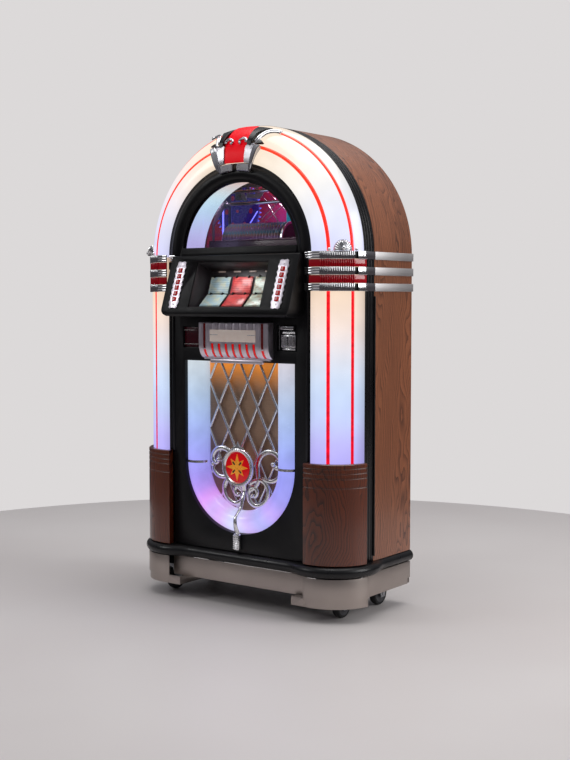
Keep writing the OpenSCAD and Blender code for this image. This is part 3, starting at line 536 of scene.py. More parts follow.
def disc_finish():
    """Silvered disc with painted rainbow reflections: colour that turns with the angle round the disc, as a
    grating gives it.
    """
    material, g, shader = new_material("disc_silver", screen(120, 122, 130), 0.22, 0.6)
    _, y, z = g.parts(g.place())
    low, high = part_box("discs")
    angle = g.math("ARCTAN2", g.math("SUBTRACT", z, (low.z + high.z) / 2),
                   g.math("SUBTRACT", y, (low.y + high.y) / 2))
    turn = g.math("FRACT", g.math("MULTIPLY", angle, 1.6))
    stops = [(0.0, screen(150, 154, 166)), (0.25, screen(96, 170, 186)), (0.5, screen(180, 150, 120)),
             (0.75, screen(160, 128, 186)), (1.0, screen(150, 154, 166))]
    g.wire(g.ramp(turn, stops), shader["Base Color"])
    smudges = g.group(SMUDGES, {"Vector": g.place(), "Low": 0.16, "High": 0.3})
    g.wire(smudges["Roughness"], shader["Roughness"])
    return material


def card_finish(name, paper, ink, accent):
    """A glossy page: paper with a soft block of ink, rows of pale lines and a mottled print; the page also
    glows faintly in its own colours, painted light.
    """
    material, g, shader = new_material(name, paper, 0.3, Coat_Weight=0.3, Emission_Strength=0.12)
    u, v, _ = g.parts(g.place("UV"))
    rows = g.math("GREATER_THAN", g.math("SINE", g.math("MULTIPLY", v, 60.0)), 0.2)
    body = g.math("MULTIPLY", rows, g.spread(u, 0.1, 0.14, 0.0, 0.45))
    blot = g.spread(g.noise(g.joined(u, v, 0.0), 3.0, 4.0), 0.42, 0.62, 0.0, 1.0)
    colour = g.mix(blot, paper, accent)
    colour = g.mix(body, colour, ink)
    g.wire(colour, shader["Base Color"])
    # Painted light: the page emits its own colours faintly, though paper is no lamp.
    g.wire(colour, shader["Emission Color"])
    return material


def glass_finish():
    """Clear pane: light goes straight through it and only its gloss shows."""
    material, g, shader = new_material("window_glass", (1.0, 1.0, 1.0, 1.0), 0.03, IOR=1.45,
                                       Transmission_Weight=1.0, Specular_IOR_Level=0.3, Alpha=0.03)
    smudges = g.group(SMUDGES, {"Vector": g.place(), "Low": 0.02, "High": 0.07})
    g.wire(smudges["Roughness"], shader["Roughness"])
    return material


def gold_finish():
    # The star carries a painted warm glow: it is cast metal, no lamp.
    material, g, shader = new_material("star_gold", screen(236, 160, 40), 0.3, 0.2,
                                       Emission_Color=screen(240, 150, 50), Emission_Strength=0.3)
    smudges = g.group(SMUDGES, {"Vector": g.place(), "Low": 0.2, "High": 0.36})
    tone = g.spread(g.noise(g.place(), 60.0), 0.3, 0.7, 0.0, 1.0)
    g.wire(g.mix(tone, screen(244, 176, 60), screen(220, 130, 30)), shader["Base Color"])
    g.wire(smudges["Roughness"], shader["Roughness"])
    return material


CLOTH = cloth_finish()
BACKDROP = backdrop_finish()
TOOTH_BLUE = tooth_finish()
DISC_SILVER = disc_finish()
CARD_BLUE = card_finish("card_blue", screen(178, 204, 214), screen(110, 140, 150), screen(214, 216, 190))
CARD_RED = card_finish("card_red", screen(196, 66, 66), screen(214, 120, 112), screen(150, 40, 50))
GLASS = glass_finish()
STAR_GOLD = gold_finish()
# The cream nameplate carries a faint painted glow; it is no lamp.
NAMEPLATE = coated("nameplate_cream", screen(232, 214, 204), 0.3, 0.4, 900.0, 0.02, 0.0,
                   Emission_Color=screen(150, 138, 130), Emission_Strength=0.25)
CARD_GREEN = card_finish("card_green", screen(190, 206, 190), screen(130, 150, 140), screen(150, 120, 90))
RECESS_BROWN = coated("recess_brown", screen(44, 38, 42), 0.4, 0.55, 500.0, 0.05, 0.1)
# The red inserts carry a painted red glow; they are no lamps.
INSERT_RED = coated("insert_red", screen(214, 10, 14), 0.15, 0.25, 600.0, 0.02, 0.02,
                    Emission_Color=screen(230, 10, 8), Emission_Strength=0.35)
# The medallion's red carries a painted glow; it is no lamp.
MEDAL_RED = coated("medal_red", screen(210, 8, 24), 0.12, 0.22, 600.0, 0.02, 0.02,
                   Emission_Color=screen(220, 6, 20), Emission_Strength=0.25)
DIM_LAMP = coated("dim_lamp", screen(120, 108, 104), 0.3, 0.4, 900.0, 0.02, 0.05,
                  Emission_Color=screen(160, 140, 130), Emission_Strength=0.3)
LAMP_BLUE = coated("lamp_blue", screen(40, 40, 120), 0.2, 0.3, 900.0, 0.01, 0.0,
                   Emission_Color=screen(120, 120, 255), Emission_Strength=1.6)
# A painted cyan glow for the guide plate in the mechanism; the plate is no lamp.
CYAN_GUIDE_GLOW = coated("cyan_guide_painted_glow", screen(20, 90, 110), 0.2, 0.3, 900.0, 0.01, 0.0,
                   Emission_Color=screen(20, 110, 130), Emission_Strength=0.8)
CREDIT_RED = coated("credit_window", screen(58, 8, 20), 0.12, 0.2, 900.0, 0.01, 0.02)
print("patterned finishes made")

# %% [markdown]
# ## Making meshes
# Most pieces are a section carried along a path: a moulding, a tube, a foot. `sweep_parts` does
# all of those and lays a UV map in metres, u along the path and v round the section. `finish_mesh`
# merges doubles, turns the faces outwards and smooths what isn't a real edge.


# %% Mesh helpers
def place_object(name, data):
    """A new object at the origin, in the scene."""
    made = bpy.data.objects.new(name, data)
    bpy.context.scene.collection.objects.link(made)
    return made


def finish_mesh(name, mesh, materials, angle=35.0):
    """Merges doubles, turns faces outwards, shades smooth up to an angle, and makes the object."""
    bm = bmesh.new()
    bm.from_mesh(mesh)
    bmesh.ops.remove_doubles(bm, verts=bm.verts, dist=2e-6)
    bmesh.ops.dissolve_degenerate(bm, edges=bm.edges, dist=1e-7)
    bmesh.ops.recalc_face_normals(bm, faces=bm.faces)
    bm.to_mesh(mesh)
    bm.free()
    for material in materials:
        mesh.materials.append(material)
    mesh.shade_smooth()
    mesh.set_sharp_from_angle(angle=radians(angle))
    piece = place_object(name, mesh)
    return piece


def sweep_parts(frames, section, caps=True, closed=True, unit_uv=None, shares=None, swap=0.0):
    """Vertices, faces and UVs of a section carried along frames (origin, a, b, u[, scale]).

    The UVs are metres, or shares of unit_uv along and of the section (or `shares`) across; swap is
    a radius, and puts the section's length first for turned wood."""
    ring = list(section) + ([section[0]] if closed else [])
    across = [0.0]
    for (a0, b0), (a1, b1) in zip(ring, ring[1:]):
        across.append(across[-1] + hypot(a1 - a0, b1 - b0))
    if unit_uv:
        across = list(shares) + [shares[-1]] * (len(ring) - len(shares)) if shares else \
            [value / across[-1] for value in across]
    verts = []
    uvs = []
    for entry in frames:
        origin, axis_a, axis_b, along = entry[:4]
        scale = entry[4] if len(entry) > 4 else 1.0
        for (a, b), value in zip(ring, across):
            verts.append(origin + axis_a * (a * scale) + axis_b * (b * scale))
            if swap:
                uvs.append((value, along * swap))
            else:
                uvs.append((along / (unit_uv or 1.0), value))
    wide = len(ring)
    faces = []
    for i in range(len(frames) - 1):
        for j in range(wide - 1):
            faces.append((i * wide + j, i * wide + j + 1, (i + 1) * wide + j + 1, (i + 1) * wide + j))
    if caps and closed:
        last = (len(frames) - 1) * wide
        faces.append(tuple(range(wide - 1)))
        faces.append(tuple(last + j for j in range(wide - 1)))
    return verts, faces, uvs


def join_parts(parts):
    """Several (verts, faces, uvs) as one."""
    verts, faces, uvs = [], [], []
    for part_verts, part_faces, part_uvs in parts:
        base = len(verts)
        verts += part_verts
        uvs += part_uvs
        faces += [tuple(base + i for i in face) for face in part_faces]
    return verts, faces, uvs


def mesh_piece(name, parts, materials, angle=35.0, face_material=None):
    """An object from (verts, faces, uvs) parts; face_material picks a slot for each part's index."""
    verts, faces, uvs = join_parts(parts)
    mesh = bpy.data.meshes.new(name)
    mesh.from_pydata(verts, [], faces)
    layer = mesh.uv_layers.new(name="UVMap")
    for loop in mesh.loops:
        layer.data[loop.index].uv = uvs[loop.vertex_index]
    if face_material:
        marks = [m for m, part in zip(face_material, parts) for _ in part[1]]
        mesh.polygons.foreach_set("material_index", marks)
    return finish_mesh(name, mesh, materials, angle)


def stands_for(piece, body, slot, *nodes):
    """Hooks a finished piece to its body and hides the CAD nodes that it replaces; the slot is not used."""
    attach(piece, body)
    if nodes:
        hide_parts(*nodes)
    print(f"{piece.name}: {len(piece.data.polygons)} faces on {body}")
    return piece


def arch_frames(low, steps=72, straight=6, reference=0.4):
    """Up the left side, round the arch and down the right; a is outwards and b is to the front."""
    ahead = Vector((0, -1, 0))
    rise = ARCH_Z - low
    frames = []
    for i in range(straight + 1 if rise > 0 else 0):
        z = low + rise * i / straight
        frames.append((Vector((0, 0, z)), Vector((-1, 0, 0)), ahead, z - low))
    for i in range(1 if rise > 0 else 0, steps + 1):
        angle = pi * (1 - i / steps)
        out = Vector((cos(angle), 0, sin(angle)))
        frames.append((Vector((0, 0, ARCH_Z)), out, ahead, rise + reference * pi * i / steps))
    end = frames[-1][3]
    for i in range(1, straight + 1 if rise > 0 else 0):
        z = ARCH_Z - rise * i / straight
        frames.append((Vector((0, 0, z)), Vector((1, 0, 0)), ahead, end + ARCH_Z - z))
    return frames


def column_frames(side, low, high, steps=8):
    """Up one column; the section is (distance from the middle, distance ahead of the seam)."""
    out, ahead = Vector((side, 0, 0)), Vector((0, -1, 0))
    levels = [low + (high - low) * i / steps for i in range(steps + 1)]
    return [(Vector((0, 0, z)), out, ahead, z - low) for z in levels]


def turn_frames(origin, axis, start, from_deg, to_deg, steps):
    """Round an axis; the section is (radius, height along the axis)."""
    axis = Vector(axis).normalized()
    start = Vector(start).normalized()
    side = axis.cross(start)
    frames = []
    for i in range(steps + 1):
        angle = radians(from_deg + (to_deg - from_deg) * i / steps)
        out = start * cos(angle) + side * sin(angle)
        frames.append((Vector(origin), out, axis, abs(radians(to_deg - from_deg)) * i / steps))
    return frames


def lathe(origin, axis, profile, steps=48, start=(1, 0, 0)):
    """A turned solid; the profile is a closed loop of (radius, height)."""
    start = Vector(start)
    if abs(Vector(axis).normalized().dot(start)) > 0.9:
        start = Vector((0, 0, 1))
    frames = turn_frames(origin, axis, start, 0, 360, steps)
    verts, faces, uvs = sweep_parts(frames, profile, caps=False)
    return verts, faces, uvs


def tube_parts(points, radius, sides=12, flat=1.0, scales=None, up=(0, 1, 0)):
    """A bar along points; flat squashes it along up, and scales thins it point by point."""
    points = [Vector(p) for p in points]
    up = Vector(up)
    section = [(radius * cos(tau * i / sides), radius * flat * sin(tau * i / sides))
               for i in range(sides)]
    frames = []
    along = 0.0
    for i, point in enumerate(points):
        before = points[max(i - 1, 0)]
        after = points[min(i + 1, len(points) - 1)]
        direction = (after - before).normalized()
        across = direction.cross(up).normalized()
        along += (point - before).length
        frames.append((point, across, across.cross(direction), along, scales[i] if scales else 1.0))
    return sweep_parts(frames, section)


def block_parts(low, high, bevel=0.0008, turn=None):
    """A block with bevelled edges, as (verts, faces, uvs)."""
    bm = bmesh.new()
    bmesh.ops.create_cube(bm, size=1.0)
    low, high = Vector(low), Vector(high)
    for vert in bm.verts:
        vert.co = Vector((low[k] + (high[k] - low[k]) * (vert.co[k] + 0.5) for k in range(3)))
    if bevel:
        bmesh.ops.bevel(bm, geom=bm.edges[:], offset=bevel, segments=2, profile=0.5, affect="EDGES")
    bm.verts.index_update()
    verts = [turn @ v.co if turn else v.co.copy() for v in bm.verts]
    faces = [tuple(v.index for v in f.verts) for f in bm.faces]
    uvs = [(v.co.x, v.co.z) for v in bm.verts]
    bm.free()
    return verts, faces, uvs


def plate_parts(outlines, thickness, bevel, matrix):
    """A flat plate with rounded edges from 2-D outlines; an outline inside another is a hole."""
    curve = bpy.data.curves.new("plate", "CURVE")
    curve.dimensions = "2D"
    curve.fill_mode = "BOTH"
    curve.extrude = thickness / 2 - bevel
    curve.bevel_depth = bevel
    curve.bevel_resolution = 1
    curve.offset = -bevel
    for outline in outlines:
        spline = curve.splines.new("POLY")
        spline.points.add(len(outline) - 1)
        for point, (x, y) in zip(spline.points, outline):
            point.co = (x, y, 0, 1)
        spline.use_cyclic_u = True
    holder = place_object("plate", curve)
    mesh = bpy.data.meshes.new_from_object(holder.evaluated_get(bpy.context.evaluated_depsgraph_get()))
    bpy.data.objects.remove(holder)
    bpy.data.curves.remove(curve)
    lift = Matrix.Translation((0, 0, thickness / 2))
    verts = [matrix @ (lift @ v.co) for v in mesh.vertices]
    uvs = [(v.co.x, v.co.y) for v in mesh.vertices]
    faces = [tuple(p.vertices) for p in mesh.polygons]
    bpy.data.meshes.remove(mesh)
    return verts, faces, uvs


def circle_points(x, y, radius, count=32):
    turns = [tau * i / count for i in range(count)]
    return [(x + radius * cos(turn), y + radius * sin(turn)) for turn in turns]


def softened(node, width, material, body, slot, angle=28.0, cutter=None):
    """A copy of a CAD node with its hard edges rounded, which then stands for it."""
    mesh = cad_nodes[node].data.copy()
    mesh.materials.clear()
    bm = bmesh.new()
    bm.from_mesh(mesh)
    bmesh.ops.remove_doubles(bm, verts=bm.verts, dist=5e-6)
    bmesh.ops.dissolve_limit(bm, angle_limit=radians(1.0), verts=bm.verts, edges=bm.edges)
    bm.to_mesh(mesh)
    bm.free()
    mesh.materials.append(material)
    piece = place_object(node + "_finished", mesh)
    if cutter:
        cut = piece.modifiers.new("recess", "BOOLEAN")
        cut.object = cutter
        cut.operation = "DIFFERENCE"
        cut.solver = "EXACT"
    bevel = piece.modifiers.new("rounding", "BEVEL")
    bevel.width = width
    bevel.segments = 2
    bevel.limit_method = "ANGLE"
    bevel.angle_limit = radians(angle)
    bevel.use_clamp_overlap = True
    done = bpy.data.meshes.new_from_object(piece.evaluated_get(bpy.context.evaluated_depsgraph_get()))
    piece.modifiers.clear()
    piece.data = done
    if cutter:
        bpy.data.objects.remove(cutter)
    done.shade_smooth()
    done.set_sharp_from_angle(angle=radians(35))
    if not done.uv_layers:
        done.uv_layers.new(name="UVMap")
    return stands_for(piece, body, slot, node)


print("mesh helpers ready")

# %% [markdown]
# ## Geometry Nodes for what repeats
# Ribs, beads, the rack's fins and the discs are one small shape many times. Two trees do that work: one
# sets copies in a row, the other in a ring. A third carries a round bar along a path, for the lattice. Each
# ends in Realize Instances and Set Material.


# %% Geometry Nodes trees
def geometry_tree(name, inputs):
    tree = bpy.data.node_groups.new(name, "GeometryNodeTree")
    tree.interface.new_socket(name="Geometry", in_out="INPUT", socket_type="NodeSocketGeometry")
    for label, kind in inputs:
        tree.interface.new_socket(name=label, in_out="INPUT", socket_type=kind)
    tree.interface.new_socket(name="Geometry", in_out="OUTPUT", socket_type="NodeSocketGeometry")
    graph = Graph(tree)
    return tree, graph, graph.add("NodeGroupInput").outputs, graph.add("NodeGroupOutput").inputs


def painted_end(g, given, out, geometry):
    """Realize Instances and Set Material, as every tree ends."""
    real = g.add("GeometryNodeRealizeInstances", {"Geometry": geometry})
    painted = g.add("GeometryNodeSetMaterial", {"Geometry": real.outputs[0],
                                                "Material": given["Finish"]})
    g.wire(painted.outputs[0], out["Geometry"])


def row_tree():
    """Copies of the object's own mesh in a row."""
    inputs = [("Count", "NodeSocketInt"), ("Start", "NodeSocketVector"), ("Step", "NodeSocketVector"),
              ("Finish", "NodeSocketMaterial")]
    tree, g, given, out = geometry_tree("copies_in_a_row", inputs)
    line = g.add("GeometryNodeMeshLine", {"Count": given["Count"], "Start Location": given["Start"],
                                          "Offset": given["Step"]})
    copies = g.add("GeometryNodeInstanceOnPoints", {"Points": line.outputs[0],
                                                    "Instance": given["Geometry"]})
    painted_end(g, given, out, copies.outputs[0])
    return tree


def ring_tree():
    """Copies of the object's own mesh round the z axis; the mesh lies on +x."""
    inputs = [("Count", "NodeSocketInt"), ("From", "NodeSocketFloat"), ("Turn", "NodeSocketFloat"),
              ("Finish", "NodeSocketMaterial")]
    tree, g, given, out = geometry_tree("copies_in_a_ring", inputs)
    points = g.add("GeometryNodePoints", {"Count": given["Count"]})
    index = g.add("GeometryNodeInputIndex").outputs[0]
    angle = g.math("ADD", given["From"], g.math("MULTIPLY", index, given["Turn"]))
    turn = g.joined(0.0, 0.0, angle)
    copies = g.add("GeometryNodeInstanceOnPoints", {"Points": points.outputs[0],
                                                    "Instance": given["Geometry"]})
    g.wire(turn, copies.inputs["Rotation"])
    painted_end(g, given, out, copies.outputs[0])
    return tree


def bar_tree():
    """A round bar along the object's own curve, with its ends filled."""
    inputs = [("Radius", "NodeSocketFloat"), ("Sides", "NodeSocketInt"), ("Finish", "NodeSocketMaterial")]
    tree, g, given, out = geometry_tree("bar_along_a_path", inputs)
    round_section = g.add("GeometryNodeCurvePrimitiveCircle", {"Resolution": given["Sides"],
                                                               "Radius": given["Radius"]})
    bar = g.add("GeometryNodeCurveToMesh", {"Curve": given["Geometry"],
                                            "Profile Curve": round_section.outputs[0],
                                            "Fill Caps": True})
    painted_end(g, given, out, bar.outputs[0])
    return tree


ROW = row_tree()
RING = ring_tree()
BAR = bar_tree()


def run_tree(holder, tree, values):
    """Sets a tree's inputs by their identifiers, evaluates it and returns the plain mesh."""
    modifier = holder.modifiers.new("nodes", "NODES")
    modifier.node_group = tree
    for item in tree.interface.items_tree:
        if item.item_type == "SOCKET" and item.in_out == "INPUT" and item.name in values:
            modifier[item.identifier] = values[item.name]
    view = bpy.context.evaluated_depsgraph_get()
    mesh = bpy.data.meshes.new_from_object(holder.evaluated_get(view))
    holder.modifiers.remove(modifier)
    bpy.data.objects.remove(holder)
    return mesh


def holder_for(parts):
    verts, faces, _ = join_parts(parts)
    mesh = bpy.data.meshes.new("tool")
    mesh.from_pydata(verts, [], faces)
    bm = bmesh.new()
    bm.from_mesh(mesh)
    bmesh.ops.remove_doubles(bm, verts=bm.verts, dist=2e-6)
    bmesh.ops.recalc_face_normals(bm, faces=bm.faces)
    bm.to_mesh(mesh)
    bm.free()
    holder = place_object("tool", mesh)
    return holder


def path_holder(paths):
    curve = bpy.data.curves.new("path", "CURVE")
    curve.dimensions = "3D"
    for points in paths:
        spline = curve.splines.new("POLY")
        spline.points.add(len(points) - 1)
        for slot, point in zip(spline.points, points):
            slot.co = (*point, 1)
    holder = place_object("path", curve)
    return holder


def in_a_row(tool, count, start, step, material):
    return run_tree(holder_for(tool), ROW, {"Count": count, "Start": start, "Step": step,
                                            "Finish": material})


def in_a_ring(tool, count, from_deg, turn_deg, material):
    values = {"Count": count, "From": radians(from_deg), "Turn": radians(turn_deg)}
    return run_tree(holder_for(tool), RING, {**values, "Finish": material})


def from_meshes(name, meshes, angle=35.0):
    """One object from (mesh, matrix) pairs; each keeps its own material."""
    bm = bmesh.new()
    materials = []
    for mesh, matrix in meshes:
        base = len(materials)
        materials += [m for m in mesh.materials] or [None]
        first = len(bm.faces)
        mesh.transform(matrix)
        bm.from_mesh(mesh)
        bm.faces.ensure_lookup_table()
        for face in bm.faces[first:]:
            face.material_index += base
        bpy.data.meshes.remove(mesh)
    bmesh.ops.recalc_face_normals(bm, faces=bm.faces)
    joined = bpy.data.meshes.new(name)
    bm.to_mesh(joined)
    bm.free()
    for material in materials:
        joined.materials.append(material)
    joined.shade_smooth()
    joined.set_sharp_from_angle(angle=radians(angle))
    if not joined.uv_layers:
        joined.uv_layers.new(name="UVMap")
    piece = place_object(name, joined)
    return piece


def plain_mesh(parts, material, second_parts=(), second=None):
    """A mesh (no object) from parts, for joining with the results of the trees."""
    marks = [0] * len(parts) + [1] * len(second_parts)
    materials = [material, second] if second_parts else [material]
    piece = mesh_piece("scrap", list(parts) + list(second_parts), materials, face_material=marks)
    mesh = piece.data
    bpy.data.objects.remove(piece)
    return mesh


STILL = Matrix.Identity(4)
print("trees:", [t.name for t in (ROW, RING, BAR)])

# %% [markdown]
# ## Wood shell
# The shell is one sheet of veneer bent over the arch, so its grain runs up one side, over the top
# and down the other. Its rear edge is rounded.


# %% Shell of the cabinet
def rounded_box(a0, b0, a1, b1, radius, steps=4):
    """A rectangle with rounded corners, anticlockwise."""
    points = []
    corners = [(a1 - radius, b0 + radius, -90), (a1 - radius, b1 - radius, 0),
               (a0 + radius, b1 - radius, 90), (a0 + radius, b0 + radius, 180)]
    for a, b, start in corners:
        for i in range(steps + 1):
            angle = radians(start + 90 * i / steps)
            points.append((a + radius * cos(angle), b + radius * sin(angle)))
    return points


def shell_section():
    inner, outer = HALF_W - WALL, HALF_W
    near, far = -1 * MM, -BACK_Y
    edge = [(outer - 1 * MM, near), (outer, near - 1 * MM)]
    turned = [(outer - 7 * MM + 7 * MM * cos(radians(a)),
               far + 7 * MM - 7 * MM * sin(radians(a))) for a in range(0, 91, 15)]
    return [(inner, near)] + edge + turned + [(inner, far)]


shell = mesh_piece("wood_shell", [sweep_parts(arch_frames(BODY_Z, 96, 10, 0.41), shell_section())],
                   [WALNUT])
stands_for(shell, "cabinet", "walnut", "cabinet_shell")

# %% [markdown]
# ## Lit columns, lit arch and bubble tubes
# One section serves all of them: most of a circle, cut off at the front board and at the edge
# moulding, with two open channels. The red tubes lie in the channels. The arch also has the lit
# wall of the tunnel behind the window.

# %% Section of the lit plastic
CHANNELS = (66.0, 30.0)
CHANNEL_R = 6.2 * MM
TUBE_R = 5.8 * MM
TUBE_SUNK = 5.0 * MM


def light_profile(radius):
    """Section of the shell as (points, shares); shares run 0 to 1 from the front edge outwards."""
    centre_a, centre_b = COL_X, COL_Y
    thick = 4 * MM

    def at(r, place_deg):
        angle = radians(place_deg)
        return (centre_a + r * cos(angle), centre_b + r * sin(angle))

    start = degrees(acos((FRONT_HW + 0.2 * MM - centre_a) / radius))
    end = degrees(asin((57.5 * MM - centre_b) / radius))
    outer = []
    shares = []
    half = degrees(asin(CHANNEL_R / radius))
    angle = start
    while angle > end:
        inside = [c for c in CHANNELS if abs(angle - c) < half]
        if not inside:
            outer.append(at(radius, angle))
            shares.append((start - angle) / (start - end))
            angle -= 2.0
            for c in CHANNELS:
                if angle < c + half < angle + 2.0:
                    angle = c + half - 0.001
            continue
        c = inside[0]
        share = (start - c) / (start - end)
        hub = at(radius - TUBE_SUNK, c)
        outward = Vector((cos(radians(c)), sin(radians(c))))
        across = Vector((-outward.y, outward.x))
        lip = TUBE_SUNK - 0.3 * MM
        for offset in (1, None, -1):
            if offset:
                point = Vector(hub) + across * (offset * CHANNEL_R) + outward * lip
                outer.append(tuple(point))
                shares.append(share)
                continue
            for i in range(9):
                turn = radians(180 * i / 8)
                point = Vector(hub) + across * (CHANNEL_R * cos(turn))
                outer.append(tuple(point - outward * (CHANNEL_R * sin(turn))))
                shares.append(share)
        angle = c - half - 0.001
    outer.append(at(radius, end))
    shares.append(1.0)
    inner_r = radius - thick - 8.5 * MM
    inner_end = degrees(asin((57.5 * MM - centre_b) / inner_r))
    inner_start = degrees(acos((FRONT_HW + 4 * MM - centre_a) / inner_r))
    inner = [at(inner_r, inner_end + (inner_start - inner_end) * i / 24) for i in range(25)]
    shares += [1.0 - i / 24 for i in range(25)]
    wall = [(FRONT_HW + 4 * MM, 131 * MM), (FRONT_HW + 0.2 * MM, 131 * MM)]
    return outer + inner + wall, shares + [0.0, 0.0]


def lit_columns():
    section, shares = light_profile(COL_R)
    high = ARCH_Z - BASE_TOP
    parts = [sweep_parts(column_frames(side, BASE_TOP, ARCH_Z - 0.2 * MM, 16), section, unit_uv=high,
                         shares=shares) for side in (-1, 1)]
    piece = mesh_piece("lit_columns", parts, [LIT_COLUMN])
    return stands_for(piece, "door", "light_warm", "pilaster_lights")


def lit_arch():
    section, shares = light_profile(ARCH_SEC_R)
    frames = arch_frames(ARCH_Z, 120)
    whole = frames[-1][3]
    shell_part = sweep_parts(frames, section, unit_uv=whole, shares=shares)
    tunnel = sweep_parts(frames, mm_points((244, 20), (248, 20), (248, 125.7), (244, 125.7)), unit_uv=whole)
    piece = mesh_piece("lit_arch", [shell_part, tunnel], [LIT_ARCH, LIT_TUNNEL],
                       face_material=[0, 1])
    return stands_for(piece, "door", "light_warm", "arch_light")


def bubble_tube_path(place_deg):
    """Up one column, over the arch and down; the tube moves inwards a little behind the bands."""
    out, ahead = cos(radians(place_deg)), sin(radians(place_deg))
    low_r, high_r = COL_R - TUBE_SUNK, ARCH_SEC_R - TUBE_SUNK
    rise = [BASE_TOP + 0.5 * MM + (1.02 - BASE_TOP) * i / 12 for i in range(13)]
    points = [(-(COL_X + low_r * out), -(COL_Y + low_r * ahead), z) for z in rise]
    reach, depth = COL_X + high_r * out, COL_Y + high_r * ahead
    for i in range(97):
        angle = pi * (1 - i / 96)
        points.append((reach * cos(angle), -depth, ARCH_Z + reach * sin(angle)))
    points += [(-x, y, z) for x, y, z in reversed(points[:13])]
    return points


def bubble_tubes():
    parts = []
    for place_deg in CHANNELS:
        verts, faces, uvs = tube_parts(bubble_tube_path(place_deg), TUBE_R, 16)
        whole = max(u for u, _ in uvs)
        parts.append((verts, faces, [(u / whole, v) for u, v in uvs]))
    piece = mesh_piece("bubble_tubes_finished", parts, [LIT_TUBE])
    return stands_for(piece, "door", "tube_red", "bubble_tubes")


lit_columns()
lit_arch()
bubble_tubes()

# %% [markdown]
# ## Lit U
# A hollow tube of milky plastic round the grille, open to the lamps behind it.

# %% The U round the grille
U_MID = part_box("u_light")[1].x - 36.3 * MM
U_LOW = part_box("u_light")[0].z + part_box("u_light")[1].x
U_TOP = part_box("u_light")[1].z


def u_frames(steps=72, straight=10):
    ahead = Vector((0, -1, 0))
    frames = []
    for i in range(straight):
        z = U_TOP + (U_LOW - U_TOP) * i / straight
        frames.append((Vector((0, 0, z)), Vector((-1, 0, 0)), ahead, U_TOP - z))
    start = U_TOP - U_LOW
    for i in range(steps + 1):
        angle = pi + pi * i / steps
        out = Vector((cos(angle), 0, sin(angle)))
        frames.append((Vector((0, 0, U_LOW)), out, ahead, start + U_MID * pi * i / steps))
    end = frames[-1][3]
    for i in range(1, straight + 1):
        z = U_LOW + (U_TOP - U_LOW) * i / straight
        frames.append((Vector((0, 0, z)), Vector((1, 0, 0)), ahead, end + z - U_LOW))
    return frames


def lit_u():
    radius, depth, cut = 36.3 * MM, 121 * MM, 90 * MM
    low = asin((cut - depth) / radius)
    outer = [low + (pi - 2 * low) * i / 40 for i in range(41)]
    section = [(U_MID - radius * cos(a), depth + radius * sin(a)) for a in outer]
    shares = [i / 40 for i in range(41)]
    inner_r = radius - 4 * MM
    section += [(U_MID - inner_r * cos(a), depth + inner_r * sin(a)) for a in reversed(outer)]
    frames = u_frames()
    part = sweep_parts(frames, section, unit_uv=frames[-1][3], shares=shares + shares[::-1])
    return stands_for(mesh_piece("lit_u", [part], [LIT_U]), "door", "light_cool", "u_light")


lit_u()

# %% [markdown]
# ## Bright and red bands
# Each bright strip starts as a wing with three long ribs on the front, turns round the column with upright
# half-round ribs, leaves a gap filled with black as painted shade and ends as a plate with a screw on the
# door's side. A ribbed half dome with two beads stands on the top strip; black in the grooves between its
# ribs is painted shade.

# %% Bands round the columns
STRIP_ZS = mm(1000, 1048.5, 1095.5)
STRIP_H = 24.3 * MM
BAND_IN = 122.4 * MM
WING_TURN = (-94.5, -77.5)
RIB_TURN = (-77.5, -28.5)
GAP_TURN = (-28.5, -23.5)
END_TURN = (-23.5, -8.0)
SCREW_TURN = -15.5
RIB_COUNT, RIB_FROM, RIB_STEP = 16, 75.8, 3.05
RIB_OUT = 127.2 * MM


def column_turn(side, z, from_deg, to_deg, steps=24):
    """Round a column; degrees run from straight outwards (0) to the front (-90)."""
    frames = []
    for i in range(steps + 1):
        angle = radians(from_deg + (to_deg - from_deg) * i / steps)
        out = Vector((side * cos(angle), sin(angle), 0))
        along = (from_deg - to_deg) * pi / 180 * i / steps
        frames.append((Vector((side * COL_X, -COL_Y, z)), out, Vector((0, 0, 1)), along))
    return frames


def long_ribs(inner, outer, low, high, count=3):
    """Section with half-round ribs one above another."""
    pitch = (high - low) / count
    points = [(inner, low)]
    for i in range(count):
        for k in range(9):
            turn = pi * k / 8
            height = low + pitch * (i + 0.5) - pitch * 0.5 * cos(turn)
            points.append((outer - 2.2 * MM + 2.2 * MM * sin(turn) ** 0.7, height))
    return points + [(inner, high)]


def upright_rib(radius, width, height):
    """One half-round rib standing on +x."""
    section = [(radius - 1.5 * MM, -width / 2)]
    section += [(radius + (width / 2) * sin(pi * i / 8), -(width / 2) * cos(pi * i / 8))
                for i in range(9)]
    section += [(radius - 1.5 * MM, width / 2)]
    up, out, across = Vector((0, 0, 1)), Vector((1, 0, 0)), Vector((0, 1, 0))
    levels = [(0.2 * MM, 0.996), (1.0 * MM, 1.0), (height - 1.0 * MM, 1.0), (height - 0.2 * MM, 0.996)]
    return sweep_parts([(up * z, out, across, z, s) for z, s in levels], section)


def rib_turns(side):
    """Where a side's first upright rib stands, and the turn to the next one, in degrees."""
    return (-RIB_FROM, RIB_STEP) if side > 0 else (180 + RIB_FROM, -RIB_STEP)


def screw_parts(place, facing, radius=4.0 * MM, height=1.8 * MM):
    """A domed screw head, facing along a direction."""
    profile = [mm(0, -1), (radius, -1 * MM), (radius, height * 0.3)]
    profile += [(radius * cos(radians(a)), height * (0.3 + 0.7 * sin(radians(a))))
                for a in (25, 50, 75)]
    profile += [(0, height)]
    head = lathe(place, facing, profile, 24)
    return head


